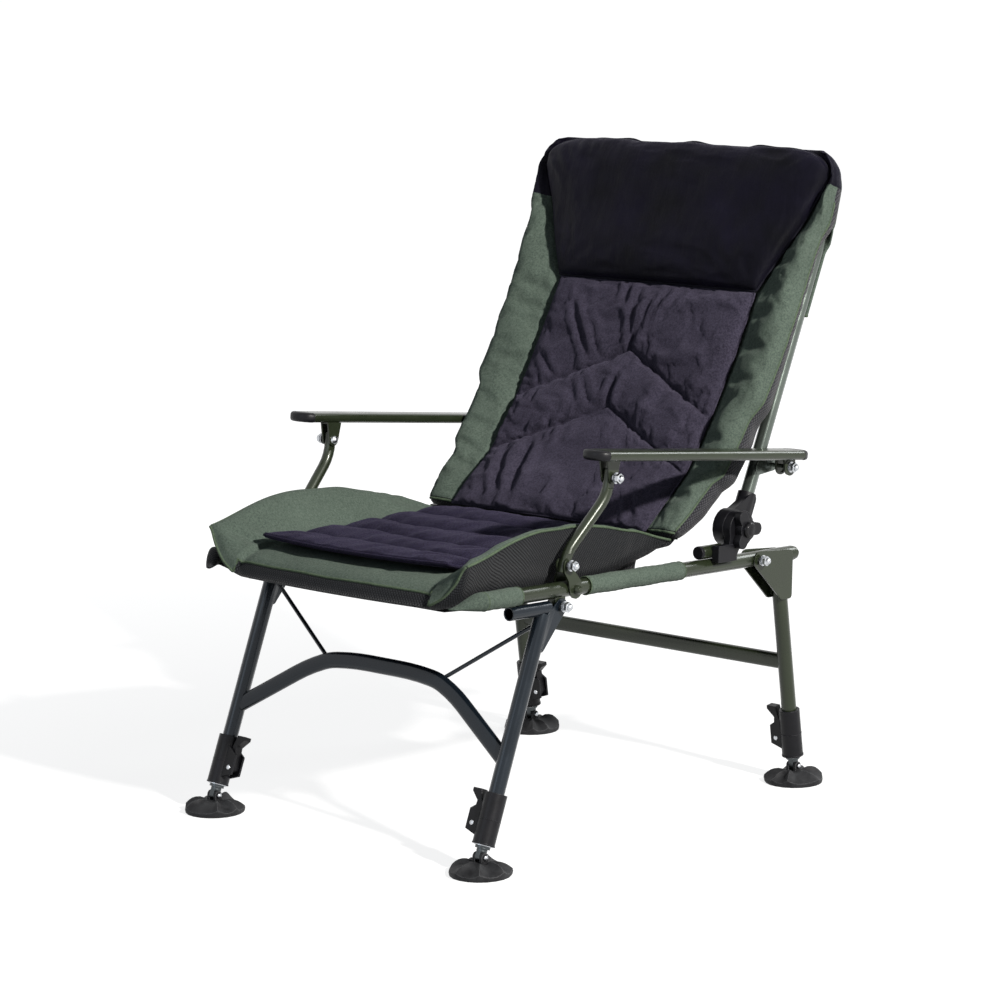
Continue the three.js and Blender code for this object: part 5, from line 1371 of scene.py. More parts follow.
def bolster_creases():
    """Creases across the side rolls: (x, up, x, up, width, depth)."""
    lines = []
    for side, ups in ROLL_CREASE_UPS.items():
        for up in ups:
            tilt = rng.uniform(*ROLL_CREASE_TILTS)
            inner, outer = rng.uniform(*ROLL_CREASE_STARTS), rng.uniform(*ROLL_CREASE_ENDS)
            lines.append((side * inner, up + tilt, side * outer, up,
                          rng.uniform(*ROLL_CREASE_WIDTHS), rng.uniform(*ROLL_CREASE_DEPTHS)))
    for side in (-1, 1):
        for start in np.arange(0, ROLL_TUCKS_TO, ROLL_TUCK_STEP):
            up = start + rng.uniform(-ROLL_TUCK_SHIFT, ROLL_TUCK_SHIFT)
            lines.append((side * INNER_TUCK_FROM, up, side * rng.uniform(*INNER_TUCK_ENDS),
                          up + rng.uniform(-INNER_TUCK_TURN, INNER_TUCK_TURN),
                          ROLL_TUCK_WIDTH, rng.uniform(*ROLL_TUCK_DEPTHS)))
            lines.append((side * OUTER_TUCK_FROM, up + OUTER_TUCK_UP,
                          side * rng.uniform(*OUTER_TUCK_ENDS),
                          up + rng.uniform(*OUTER_TUCK_TURNS),
                          ROLL_TUCK_WIDTH, rng.uniform(*ROLL_TUCK_DEPTHS)))
    return lines


print("back mattress:", sum(len(ups) for ups in ROLL_CREASE_UPS.values()), "creases on its rolls")

# %% back mattress
BACK_FLAT_POINTS = 9
REAR_COLUMNS = 25
SEAM_COLUMN = 3
ROLL_SWELL_SIZE = 0.06
ROLL_SWELL = 0.0008
BACK_FILL = 5
BACK_GROWTH_SHARE = 0.03
BACK_SETTLE = 0.006
LEAST_OPEN_SHARE = 0.12


def wall_taper(up):
    """How far the side cloth runs inwards on its way to the rear."""
    return np.interp(up, WALL_TAPER_PLACES, WALL_TAPERS)


def mattress_front(up):
    """The front cloth: a flat middle between the creases, and a roll outside each."""
    flat = np.linspace(0, 1, BACK_FLAT_POINTS)[1:]
    roll = 1 + spaced(0, 1, BOLSTER_COLUMNS, 0.5)[1:]
    half = np.concatenate([flat, roll])
    columns = np.concatenate([-half[::-1], [0], half])[None, :]
    side, spread = np.sign(columns), np.abs(columns)
    crease, edge = crease_half(up), back_half(up)
    share = np.clip(spread - 1, 0, 1)
    x = side * np.where(spread <= 1, crease * spread, crease + (edge - crease) * share)
    proud = np.interp(up, BOLSTER_PROUD_PLACES, BOLSTER_PROUDS)
    shape = curve_at(ROLL_PLACES, ROLL_RISES, share)
    lift = np.where(spread <= 1, ROLL_RISES[0], shape) * proud
    creases = folds(x, up + 0 * x, bolster_creases())
    creases += swell(x, up + 0 * x, ROLL_SWELL_SIZE, ROLL_SWELL)
    inside = np.clip(share / 0.08, 0, 1) * np.clip((1 - share) / 0.10, 0, 1)
    front = BACK.place(x, back_front(up) - lift - creases * inside, up + 0 * x)
    return front, columns, creases * inside


def mattress_wall(up):
    """The side cloth of one edge, whose seam to the mesh band is at a fixed column."""
    seam = np.interp(up, BOLSTER_SEAM_PLACES, BOLSTER_SEAM_SHARES)
    before = np.linspace(0, 1, SEAM_COLUMN + 1)[1:]
    after = np.linspace(0, 1, WALL_COLUMNS - SEAM_COLUMN + 1)[1:-1]
    share = np.concatenate([seam * before, seam + (1 - seam) * after], 1)
    bulge = WALL_BULGE * np.sin(math.pi * share ** 0.7)
    ripple = WALL_RIPPLE * np.sin(up * 210) * np.sin(math.pi * share)
    proud = np.interp(up, BOLSTER_PROUD_PLACES, BOLSTER_PROUDS)
    start = back_front(up) - ROLL_RISES[-1] * proud
    depth = start + (back_rear(up) - start) * share
    return back_half(up) + bulge + ripple - wall_taper(up) * share ** 1.5, depth


def back_mattress():
    up = spaced(BACK_BOTTOM, BACK_TOP, BACK_ROWS, 0.3)[:, None]
    front, columns, creases = mattress_front(up)
    wall_x, wall_depth = mattress_wall(up)
    right_wall = BACK.place(wall_x, wall_depth, up + 0 * wall_depth)
    left_wall = BACK.place(-wall_x, wall_depth, up + 0 * wall_depth)
    rear_x = np.linspace(1, -1, REAR_COLUMNS)[None, :] * (back_half(up) - REAR_INSET - wall_taper(up))
    rear = BACK.place(rear_x, back_rear(up) + 0 * rear_x, up + 0 * rear_x)
    loops = np.concatenate([front, right_wall, rear, left_wall[:, ::-1]], 1)
    middle_depth = (back_front(up) + back_rear(up)) / 2
    closing = np.clip(np.minimum(up - BACK_BOTTOM, BACK_TOP - up) / BACK_END_ROUND, 0, 1)
    open_share = LEAST_OPEN_SHARE + (1 - LEAST_OPEN_SHARE) * np.sqrt(1 - (1 - closing) ** 2)
    depth_of = (loops - BACK.origin) @ BACK.along
    target = middle_depth + (depth_of - middle_depth) * open_share
    loops = loops + (target - depth_of)[..., None] * BACK.along
    front_count = columns.shape[1]
    right_band = range(front_count + SEAM_COLUMN - 1, front_count + WALL_COLUMNS - 1)
    rear_end = front_count + WALL_COLUMNS - 1 + REAR_COLUMNS
    left_band = range(rear_end - 1, loops.shape[1] - SEAM_COLUMN)
    hidden = range(right_band.stop, left_band.start)
    ups = up[:, 0]

    def look_of(r, c):
        if ups[r] > SATIN_FROM + SATIN_SLANT * np.sign(loops[r, c, 0]):
            return 3
        if ups[r] < BLACK_FOOT_TO or c in hidden:
            return 2
        return 1 if c in right_band or c in left_band else 0

    mesh = loft("back_mattress_cloth", loops, [GREEN, MESH_BAND, BLACK_CLOTH, SATIN], look_of)
    made = object_of("back_mattress_cloth", mesh, "backrest", "back_mattress", "green_fabric")
    held = np.ones(loops.shape[:2])
    free = np.clip((np.abs(columns) - 1) / 0.1, 0, 1) * np.clip((2 - np.abs(columns)) / 0.06, 0, 1)
    held[:, :front_count] = 1 - free * np.clip(1 + creases / CREASE_HOLD, 0, 1)
    held[[0, 1, -2, -1]] = 1
    stuffed(made, held.ravel(), BACK_FILL, BACK_GROWTH_SHARE, BACK_SETTLE)
    grid = cloth_points(made).reshape(*loops.shape)
    return made, grid, ups, front_count


back_cloth, back_grid, back_ups, back_front_count = back_mattress()
shown_rows = (back_ups > BLACK_FOOT_TO) & (back_ups < SATIN_FROM)
seam_columns = {"left": back_front_count - 1 + SEAM_COLUMN, "right": -SEAM_COLUMN}
back_cords = [
    piping(f"back_piping_{side}", back_grid[shown_rows, column], PIPING_RADIUS * 0.8, PIPING,
           "backrest", slot="green_fabric")
    for side, column in seam_columns.items()
]
foot_row = np.argmin(np.abs(back_ups - BLACK_FOOT_TO))
foot_line = np.roll(back_grid[foot_row], SEAM_COLUMN, 0)[:back_front_count + 2 * SEAM_COLUMN]
back_cords.append(piping("back_foot_piping", foot_line, PIPING_RADIUS, PIPING, "backrest",
                         slot="green_fabric"))
for piece in (back_cloth, *back_cords):
    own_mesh(piece)
print("back mattress:", len(back_cloth.data.polygons), "faces")

# %% [markdown]
# A strip of black cloth joins the seat's rear edge to the foot of the back, so that nothing
# falls through. It crosses the reclining joint.

# %% hinge strip
STRIP_HALF = 0.23
STRIP_ROWS = 16
STRIP_COLUMNS = 41
STRIP_THICKNESS = 0.0016
STRIP_TUCK = 0.008
STRIP_SAG = 0.010
STRIP_RIPPLE = 0.0012
STRIP_WAVES = 130
STRIP_UNEVEN_WAVES = 37


def hinge_strip():
    x = np.linspace(-STRIP_HALF, STRIP_HALF, STRIP_COLUMNS)
    rim = (seat_upper[-1] + seat_under[-1]) / 2
    seat_edge = np.stack([np.interp(x, rim[:, 0], rim[:, i]) for i in range(3)], 1)
    seat_edge[:, 1] -= STRIP_TUCK
    foot = np.full_like(x, BACK_BOTTOM + STRIP_TUCK)
    back_edge = BACK.place(x, (back_front(foot) + back_rear(foot)) / 2, foot)
    share = np.linspace(0, 1, STRIP_ROWS)[:, None, None]
    upper = seat_edge + (back_edge - seat_edge) * share
    ripple = STRIP_RIPPLE * np.sin(x * STRIP_WAVES + 3 * np.sin(x * STRIP_UNEVEN_WAVES))[None, :]
    upper[..., 2] += (ripple - STRIP_SAG) * np.sin(math.pi * share[..., 0])
    under = upper - np.array([0, 0, STRIP_THICKNESS])
    loops = np.concatenate([upper, under[:, ::-1]], 1)
    made = bpy.data.objects.new("hinge_strip", loft("hinge_strip", loops, [BLACK_CLOTH]))
    bpy.context.scene.collection.objects.link(made)
    middle = STRIP_COLUMNS // 2
    tuple(back_edge[middle])
    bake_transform(made)
    return made


strip = hinge_strip()
print("hinge strip:", len(strip.data.polygons), "faces")

# %% [markdown]
# The pad is three tubes of filling between chevron seams. Each seam pulls the cloth down and
# gathers it into short tucks, so the tucks start on the seams and fade away from them.

# %% back pad's creases
# long creases of the pad as the photograph shows them: (x, up, x, up, width, depth)
PAD_CREASES = [
    (0.0, 0.262, 0.0, 0.242, 0.0045, 0.006),
    (-0.012, 0.30, -0.002, 0.25, 0.005, 0.0035),
    (0.016, 0.335, 0.003, 0.25, 0.005, 0.0035),
    (-0.018, 0.345, -0.012, 0.29, 0.006, 0.003),
    (-0.042, 0.352, -0.036, 0.315, 0.006, 0.003),
    (0.040, 0.352, 0.022, 0.29, 0.006, 0.0025),
    (0.068, 0.352, 0.05, 0.31, 0.006, 0.002),
    (-0.135, 0.305, -0.075, 0.225, 0.006, 0.0028),
    (-0.090, 0.285, -0.050, 0.222, 0.005, 0.002),
    (-0.165, 0.225, -0.125, 0.185, 0.005, 0.002),
    (0.0, 0.196, 0.0, 0.150, 0.0045, 0.006),
    (-0.062, 0.185, -0.03, 0.145, 0.005, 0.0022),
    (0.186, 0.30, 0.162, 0.275, 0.005, 0.0028),
    (0.186, 0.255, 0.15, 0.24, 0.005, 0.003),
    (0.186, 0.225, 0.16, 0.20, 0.006, 0.002),
    (-0.115, 0.085, -0.085, -0.015, 0.009, 0.005),
    (-0.155, 0.07, -0.11, -0.02, 0.008, 0.003),
    (0.185, 0.07, 0.15, 0.045, 0.006, 0.003),
    (0.16, -0.03, 0.135, 0.01, 0.006, 0.003),
    (0.18, 0.0, 0.15, 0.02, 0.006, 0.003),
]
GATHERED_SEAMS = tuple(zip(PAD_SEAM_MIDDLES, PAD_SEAM_DROPS))[1:-1]
GATHERS = 26
GATHER_SPREAD_SHARE = 0.93
GATHER_SLIP = 0.008
GATHER_REACHES = (0.010, 0.032)
GATHER_WIDTH = 0.0034
GATHER_DEPTHS = (0.0006, 0.0018)
RIM_TUCK_UPS = (-0.03, 0.34)
RIM_TUCK_FROM = 0.187
RIM_TUCK_ENDS = (0.162, 0.176)
RIM_TUCK_TURN = 0.01
RIM_TUCK_WIDTH = 0.0035


def pad_creases():
    """The long creases, the gathers along both seams and the tucks at the side rims."""
    lines = list(PAD_CREASES)
    for middle, drop in GATHERED_SEAMS:
        for _ in range(GATHERS):
            share = rng.uniform(-GATHER_SPREAD_SHARE, GATHER_SPREAD_SHARE)
            up = middle - drop * abs(share)
            way = rng.choice([-1, 1])
            lines.append((share * PAD_HALF, up,
                          share * PAD_HALF + rng.uniform(-GATHER_SLIP, GATHER_SLIP),
                          up + way * rng.uniform(*GATHER_REACHES), GATHER_WIDTH,
                          rng.uniform(*GATHER_DEPTHS)))
    for _ in range(GATHERS):
        side = rng.choice([-1, 1])
        up = rng.uniform(*RIM_TUCK_UPS)
        lines.append((side * RIM_TUCK_FROM, up, side * rng.uniform(*RIM_TUCK_ENDS),
                      up + rng.uniform(-RIM_TUCK_TURN, RIM_TUCK_TURN), RIM_TUCK_WIDTH,
                      rng.uniform(*GATHER_DEPTHS)))
    return lines


print("back pad:", len(PAD_CREASES), "long creases")

# %% back pad
PAD_COLUMNS = 71
PAD_ROWS_PER_ROLL = 34
PAD_CREASE_STRENGTH = 1.5
PAD_SWELL_SIZE = 0.06
PAD_SWELL = 0.0010
PAD_EDGE_PLAY = 0.0004
PAD_EDGE_ROUND = 0.004
PAD_FILL = 4
PAD_GROWTH_SHARE = 0.04
PAD_SETTLE = 0.004


def pad_up(row, column):
    """The height of a row of the pad, which bends down from the middle as a chevron."""
    seams = np.arange(len(PAD_SEAM_MIDDLES))
    drop = np.interp(row, seams, PAD_SEAM_DROPS)
    return np.interp(row, seams, PAD_SEAM_MIDDLES) - drop * np.abs(column)


def back_pad():
    columns = spaced(-1, 1, PAD_COLUMNS, 0.35)[None, :]
    rolls = len(PAD_SEAM_MIDDLES) - 1
    per_roll = np.linspace(0, 1, PAD_ROWS_PER_ROLL, endpoint=False)
    eased = per_roll - 0.05 * np.sin(2 * math.pi * per_roll)
    rows = np.concatenate([i + eased for i in range(rolls)] + [[rolls]])[:, None]
    up = pad_up(rows, columns)
    x = columns * PAD_HALF + 0 * rows
    seam = np.where((rows > 0) & (rows < rolls), PAD_SEAM, PAD_RIM)
    height = seam + (PAD_THICKNESS - seam) * roll_share(rows % 1) ** 0.8
    across_share = fullness(columns, 9)
    rise = PAD_RIM + (height - PAD_RIM) * across_share
    ends = np.clip(np.minimum(rows, rolls - rows) / 0.07, 0, 1)
    creases = PAD_CREASE_STRENGTH * folds(x, up, pad_creases())
    lift = (creases + swell(x, up, PAD_SWELL_SIZE, PAD_SWELL)) * across_share * ends
    base = back_front(up) - SOFT_GAP
    front = BACK.place(x, base - rise - lift, up)
    rear = BACK.place(x, base, up)
    sides = (-PAD_HALF - PAD_EDGE_PLAY, PAD_HALF + PAD_EDGE_PLAY)
    front, rear = closed_up(front, rear, x, sides, PAD_EDGE_ROUND)
    loops = np.concatenate([front, rear[:, ::-1]], 1)[::-1]
    made = object_of("back_pad_cloth", loft("back_pad_cloth", loops, [PURPLE]), "backrest",
                     "back_pad", "dark_fabric")
    count = columns.size
    held = np.ones(loops.shape[:2])
    held[:, 2:count - 2] = np.clip(-lift / CREASE_HOLD, 0, 1)[::-1, 2:count - 2]
    held[::PAD_ROWS_PER_ROLL] = 1
    held[:, count:] = 1
    stuffed(made, held.ravel(), PAD_FILL, PAD_GROWTH_SHARE, PAD_SETTLE)
    piping("back_pad_binding", outline((front + rear) / 2), PIPING_RADIUS * 0.9, PURPLE,
           "backrest", slot="dark_fabric")
    return made


pad_cloth = back_pad()
print("back pad:", len(pad_cloth.data.polygons), "faces")

# %% [markdown]
# The pillow is one satin bag, fuller in the middle and gathered at its top seam. It is cut
# without any slack, so its filling stretches it smooth between the few creases.

# %% headrest pillow
PILLOW_COLUMNS = 81
PILLOW_ROWS = 60
# long creases of the pillow as the photograph shows them: (x, up, x, up, width, depth)
PILLOW_CREASES = [
    (-0.255, 0.545, -0.21, 0.50, 0.007, 0.003),
    (-0.262, 0.52, -0.225, 0.49, 0.006, 0.0025),
    (0.255, 0.548, 0.22, 0.515, 0.007, 0.004),
    (0.235, 0.56, 0.205, 0.53, 0.006, 0.003),
    (-0.205, 0.562, -0.19, 0.53, 0.006, 0.003),
    (-0.16, 0.563, -0.15, 0.535, 0.006, 0.002),
    (0.262, 0.50, 0.235, 0.487, 0.006, 0.0025),
    (0.15, 0.372, 0.12, 0.40, 0.007, 0.002),
    (-0.15, 0.372, -0.12, 0.40, 0.007, 0.002),
]
PILLOW_TUCKS = 30
PILLOW_TUCK_HALF = 0.25
# tucks of the lower and the upper seam: up, way, and their two ends' shares of the half width
LOW_TUCK = (0.364, 1, 0.78, 0.74)
HIGH_TUCK = (0.565, -1, 1, 0.97)
PILLOW_TUCK_REACHES = (0.012, 0.03)
PILLOW_TUCK_WIDTH = 0.004
PILLOW_TUCK_DEPTHS = (0.0006, 0.0016)
PILLOW_SWELL_SIZE = 0.08
PILLOW_SWELL = 0.0012
PILLOW_END_ROUND = 0.006
PILLOW_OPEN_SHARE = 0.12
PILLOW_FILL = 3
PILLOW_SETTLE = 0.004


def pillow_creases():
    lines = list(PILLOW_CREASES)
    for _ in range(PILLOW_TUCKS):
        at_x = rng.uniform(-PILLOW_TUCK_HALF, PILLOW_TUCK_HALF)
        start, way, from_share, to_share = LOW_TUCK if rng.choice([True, False]) else HIGH_TUCK
        lines.append((at_x * from_share, start, at_x * to_share,
                      start + way * rng.uniform(*PILLOW_TUCK_REACHES), PILLOW_TUCK_WIDTH,
                      rng.uniform(*PILLOW_TUCK_DEPTHS)))
    return lines


def pillow():
    columns = spaced(-1, 1, PILLOW_COLUMNS, 0.45)[None, :]
    share = spaced(0, 1, PILLOW_ROWS, 0.5)[:, None]
    up = PILLOW_BOTTOM + (PILLOW_TOP - PILLOW_BOTTOM) * share + 0 * columns
    gather = PILLOW_WAVE * (np.sin(columns * 9 + 1.1) + np.sin(columns * 21 + 0.4) / 2)
    near_top = np.clip((up - PILLOW_TOP) / PILLOW_CORNER + 1, 0, 1)
    up = up + gather * near_top ** 2
    rounded = PILLOW_CORNER * (1 - np.sqrt(1 - near_top ** 2))
    x = columns * (crease_half(up) - PILLOW_INSET - rounded)
    puff = fullness(columns, 4) * fullness(2 * share - 1, 3.2)
    rise = PILLOW_RIM + (PILLOW_CROWN - PILLOW_RIM) * puff
    lift = folds(x, up, pillow_creases()) + swell(x, up, PILLOW_SWELL_SIZE, PILLOW_SWELL)
    lift = lift * np.clip(puff, 0, 1)
    base = back_front(up) - SOFT_GAP
    front = BACK.place(x, base - rise - lift, up)
    rear = BACK.place(x, base, up)
    ends = (PILLOW_BOTTOM, PILLOW_TOP)
    front, rear = closed_up(front, rear, up, ends, PILLOW_END_ROUND, PILLOW_OPEN_SHARE)
    loops = np.concatenate([front, rear[:, ::-1]], 1)[::-1]
    made = object_of("headrest_pillow_cloth", loft("headrest_pillow_cloth", loops, [SATIN]),
                     "backrest", "headrest_pillow", "satin_fabric")
    count = columns.shape[1]
    held = np.ones(loops.shape[:2])
    held[2:-2, 2:count - 2] = np.clip(-lift / CREASE_HOLD, 0, 1)[::-1][2:-2, 2:count - 2]
    stuffed(made, held.ravel(), PILLOW_FILL, 0, PILLOW_SETTLE)
    piping("pillow_piping", outline((front + rear) / 2), PIPING_RADIUS, DARK_PIPING,
           "backrest", slot="satin_fabric")
    return made


pillow_cloth = pillow()
print("pillow:", len(pillow_cloth.data.polygons), "faces")

# %% [markdown]
# ## The pocket behind the head
# A flat cloth panel lies behind the tubes, and its sides come forward round them, so that the
# back hangs from the hoop. It is one thin closed cloth that follows the tubes' bend, since a
# straight panel would cut through the hoop near its top.

# %% rear pocket
POCKET_BOTTOM = 0.336
POCKET_HALF_PLACES = [0.336, 0.430, 0.475, 0.520, 0.550, 0.572]
POCKET_HALVES = [0.257, 0.257, 0.275, 0.275, 0.265, 0.240]
POCKET_WRAP = 0.017
POCKET_WRAP_FROM_SHARE = 0.93
POCKET_WRAP_UP = 0.445
POCKET_WRAP_RUN = 0.02
POCKET_THICKNESS = 0.003
POCKET_ROWS = 60
POCKET_COLUMNS = 61
POCKET_SWELL_SIZE = 0.12
POCKET_SWELL = 0.0010
POCKET_HEM_RADIUS = 0.0024


def rear_pocket():
    up = spaced(POCKET_BOTTOM, BACK_TOP, POCKET_ROWS, 0.3)[:, None]
    columns = spaced(-1, 1, POCKET_COLUMNS, 0.8)[None, :]
    half = curve_at(POCKET_HALF_PLACES, POCKET_HALVES, up)
    beside = (np.abs(columns) - POCKET_WRAP_FROM_SHARE) / (1 - POCKET_WRAP_FROM_SHARE)
    wrap_share = np.clip(beside, 0, 1) ** 1.5
    flare = np.clip((up - POCKET_WRAP_UP) / POCKET_WRAP_RUN, 0, 1)
    behind = TUBE_SETBACK - back_bend(up) + TUBE_RADIUS + SOFT_GAP
    x = columns * half
    ripple = swell(x, up + 0 * x, POCKET_SWELL_SIZE, POCKET_SWELL) * (1 - np.abs(columns) ** 4)
    place = behind + np.abs(ripple) - POCKET_WRAP * wrap_share * flare
    outer = BACK.place(x, place + POCKET_THICKNESS, up + 0 * x)
    inner = BACK.place(x, place, up + 0 * x)
    loops = np.concatenate([outer[:, ::-1], inner], 1)[::-1]
    made = object_of("rear_pocket_cloth", loft("rear_pocket_cloth", loops, [GREEN]), "backrest",
                     "rear_pocket", "green_fabric")
    piping("pocket_hem", (outer[0] + inner[0]) / 2, POCKET_HEM_RADIUS, PIPING, "backrest",
           slot="green_fabric")
    return made


pocket_cloth = rear_pocket()
print("rear pocket:", len(pocket_cloth.data.polygons), "faces")

# %% [markdown]
# ## Nuts, covers and feet
# Each pivot bolt gets a washer, a little bare thread and an acorn nut. The knobs get a glossy
# cap, the leg sleeves their seam, collar and rivets, and each foot its folded rubber petals.
# Most of them are round, so one function turns a profile about an axis, as a lathe does.

# %% turned parts
NUT_FLATS = 0.0125
NUT_HEIGHT = 0.005
NUT_DOME = 0.0049
NUT_DOME_HEIGHT = 0.0048
WASHER_RADIUS = 0.0078
WASHER_THICKNESS = 0.0011
BOLT_RADIUS = 0.004
BOLT_HEAD_RADIUS = BOLT_RADIUS * 1.6
BOLT_HEAD = 0.005
NUT_NECK_RADIUS = NUT_DOME * 1.1
NUT_CHAMFER = 0.0005
NUT_STEP = 0.0004
THREAD_DEPTH = 0.0004
THREAD_PITCH = 0.00125
BARE_TURNS = 2
TURNED_SIDES = 36
METAL_SHARP_ANGLE = math.radians(32)


def square_to(axis):
    """Two directions that are square to an axis and to each other."""
    side = np.cross(axis, [0.0, 0.6, 0.8])
    side /= np.linalg.norm(side)
    return side, np.cross(axis, side)


def turned(name, start, axis, profile, look, body, slot, node=None):
    """A lathed part along an axis. The profile counts (along, radius), and a third value of 1
    makes the section a hexagon."""
    axis = np.asarray(axis, float)
    side, other = square_to(axis)
    turn = 2 * math.pi * np.arange(TURNED_SIDES) / TURNED_SIDES
    hexagon = 1 / np.cos(turn % (math.pi / 3) - math.pi / 6)
    rings = []
    for along, radius, *shape in profile:
        reach = radius * (hexagon if shape else 1)
        ring = np.outer(np.cos(turn) * reach, side) + np.outer(np.sin(turn) * reach, other)
        rings.append(np.asarray(start) + along * axis + ring)
    mesh = loft(name, np.array(rings), [look])
    mesh.set_sharp_from_angle(angle=METAL_SHARP_ANGLE)
    return object_of(name, mesh, body, node, slot)


def ring(name, start, axis, inner, outer, foot, height, look, body, slot):
    """A closed ring around an axis, open in the middle so that a tube can pass."""
    axis = np.asarray(axis, float)
    side, other = square_to(axis)
    section = [(foot, inner), (foot, outer), (foot + height, outer), (foot + height, inner)]
    mesh = bmesh.new()
    rows = []
    for i in range(TURNED_SIDES):
        turn = 2 * math.pi * i / TURNED_SIDES
        spoke = math.cos(turn) * side + math.sin(turn) * other
        rows.append([mesh.verts.new(np.asarray(start) + along * axis + radius * spoke)
                     for along, radius in section])
    for row, after in zip(rows, rows[1:] + rows[:1]):
        for corner in range(len(section)):
            past = (corner + 1) % len(section)
            mesh.faces.new((row[corner], row[past], after[past], after[corner]))
    bmesh.ops.recalc_face_normals(mesh, faces=mesh.faces)
    made = bpy.data.meshes.new(name)
    mesh.to_mesh(made)
    mesh.free()
    made.materials.append(look)
    made.polygons.foreach_set("use_smooth", np.ones(len(made.polygons), bool))
    made.set_sharp_from_angle(angle=METAL_SHARP_ANGLE)
    return object_of(name, made, body, slot=slot)


def dome(start, radius, height, steps=5):
    """The profile of a round top, from its foot to its middle."""
    quarter = np.linspace(0, math.pi / 2, steps + 1)[:-1]
    return [(start + height * math.sin(t), radius * math.cos(t)) for t in quarter] + \
        [(start + height, radius * 0.08)]


def acorn(start):
    """The profile of a washer, some bare thread and an acorn nut, from the clamped face out."""
    top = start + WASHER_THICKNESS
    profile = [(start, WASHER_RADIUS), (top, WASHER_RADIUS), (top, BOLT_RADIUS)]
    for i in range(BARE_TURNS):
        profile.append((top + (i + 0.5) * THREAD_PITCH, BOLT_RADIUS - THREAD_DEPTH))
        profile.append((top + (i + 1) * THREAD_PITCH, BOLT_RADIUS))
    foot = top + BARE_TURNS * THREAD_PITCH
    flats = NUT_FLATS / 2
    head = foot + NUT_HEIGHT
    profile += [(foot, NUT_NECK_RADIUS), (foot + NUT_CHAMFER, flats, 1), (head, flats, 1),
                (head + NUT_STEP, NUT_NECK_RADIUS)]
    return profile + dome(head + NUT_CHAMFER, NUT_DOME, NUT_DOME_HEIGHT)


print("turned parts ready")

# %% [markdown]
# Every bolt runs from a round head, through the tubes it joins, to an acorn nut on the far
# side. It replaces the frame's plain bolt, so its length comes from that bolt's own box.

# %% bolts
home = {body: name for name, body in frame["bodies"].items()}


def body_of(node):
    return home[frame["nodes"][node].parent]


bolts = []
for side, word in ((1, "left"), (-1, "right")):
    for kind in ("arm_lower_bolt", "arm_upper_bolt", "front_leg_bolt", "rear_leg_bolt"):
        node = f"{kind}_{word}"
        low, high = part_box(node)
        middle = (low + high) / 2
        length = high.x - low.x
        start = (low.x if side > 0 else high.x, middle.y, middle.z)
        head = [(BOLT_HEAD - along, radius)
                for along, radius in reversed(dome(0, BOLT_HEAD_RADIUS, BOLT_HEAD))]
        shaft = [(BOLT_HEAD, BOLT_RADIUS), (length - BOLT_HEAD, BOLT_RADIUS)]
        bolts.append(turned(f"{node}_zinc", start, (side, 0, 0),
                            head + shaft + acorn(length - BOLT_HEAD), ZINC, body_of(node), "zinc",
                            node))
print("bolts:", len(bolts))

# %% [markdown]
# The armrest turns on the back between two painted round covers, with a nut outside and a
# round head inside. The locking knob of the reclining joint ends in a glossy dished cap.

# %% armrest covers and knob caps
ARM_REAR_PIVOT = (0.25148, 0.47851)
ARM_REAR_MIDDLE = 0.2815
ARM_REAR_CHEEK = 0.0087
COVER_RADIUS = 0.0126
COVER_THICKNESS = 0.0009
NUT_PLAY = 0.0003
KNOB_FACE = 0.2932
KNOB_CAP_RADIUS = 0.0114
KNOB_CAP_HEIGHT = 0.0062
KNOB_DISH = KNOB_CAP_HEIGHT * 0.86
cover_profile = [
    (0, COVER_RADIUS),
    (COVER_THICKNESS * 0.7, COVER_RADIUS),
    (COVER_THICKNESS, COVER_RADIUS * 0.95),
    (COVER_THICKNESS, COVER_RADIUS * 0.5),
]
cap_profile = [
    (0, KNOB_CAP_RADIUS),
    (KNOB_CAP_HEIGHT * 0.55, KNOB_CAP_RADIUS),
    (KNOB_CAP_HEIGHT * 0.8, KNOB_CAP_RADIUS * 0.93),
    (KNOB_CAP_HEIGHT, KNOB_CAP_RADIUS * 0.8),
    (KNOB_CAP_HEIGHT, KNOB_CAP_RADIUS * 0.62),
    (KNOB_DISH, KNOB_CAP_RADIUS * 0.55),
]
cap_profile += dome(KNOB_DISH, KNOB_CAP_RADIUS * 0.5, KNOB_CAP_HEIGHT * 0.3)
for side, word in ((1, "left"), (-1, "right")):
    for way, name in ((1, "outer"), (-1, "inner")):
        face = side * (ARM_REAR_MIDDLE + way * ARM_REAR_CHEEK)
        turned(f"arm_rear_cover_{name}_{word}", (face, *ARM_REAR_PIVOT), (side * way, 0, 0),
               cover_profile, PAINT, f"{word}_arm", "frame_paint")
        nut_face = face + side * way * (COVER_THICKNESS + NUT_PLAY)
        profile = acorn(0) if way > 0 else dome(0, BOLT_HEAD_RADIUS, BOLT_HEAD * 0.7)
        turned(f"arm_rear_nut_{name}_{word}", (nut_face, *ARM_REAR_PIVOT), (side * way, 0, 0),
               profile, ZINC, "backrest", "zinc")
    turned(f"knob_cap_{word}", (side * KNOB_FACE, *RECLINE_PIVOT), (side, 0, 0), cap_profile,
           GLOSS_PLASTIC, f"{word}_knob", "black_plastic")
print("armrest covers and knob caps made")

# %% [markdown]
# Each leg ends in a moulded sleeve that grips the tube, with a lever on two rivets. The foot
# below it is a rubber disc whose top is folded into petals, so that it bends on uneven
# ground. The folds differ a little from foot to foot, as moulded rubber does after use.

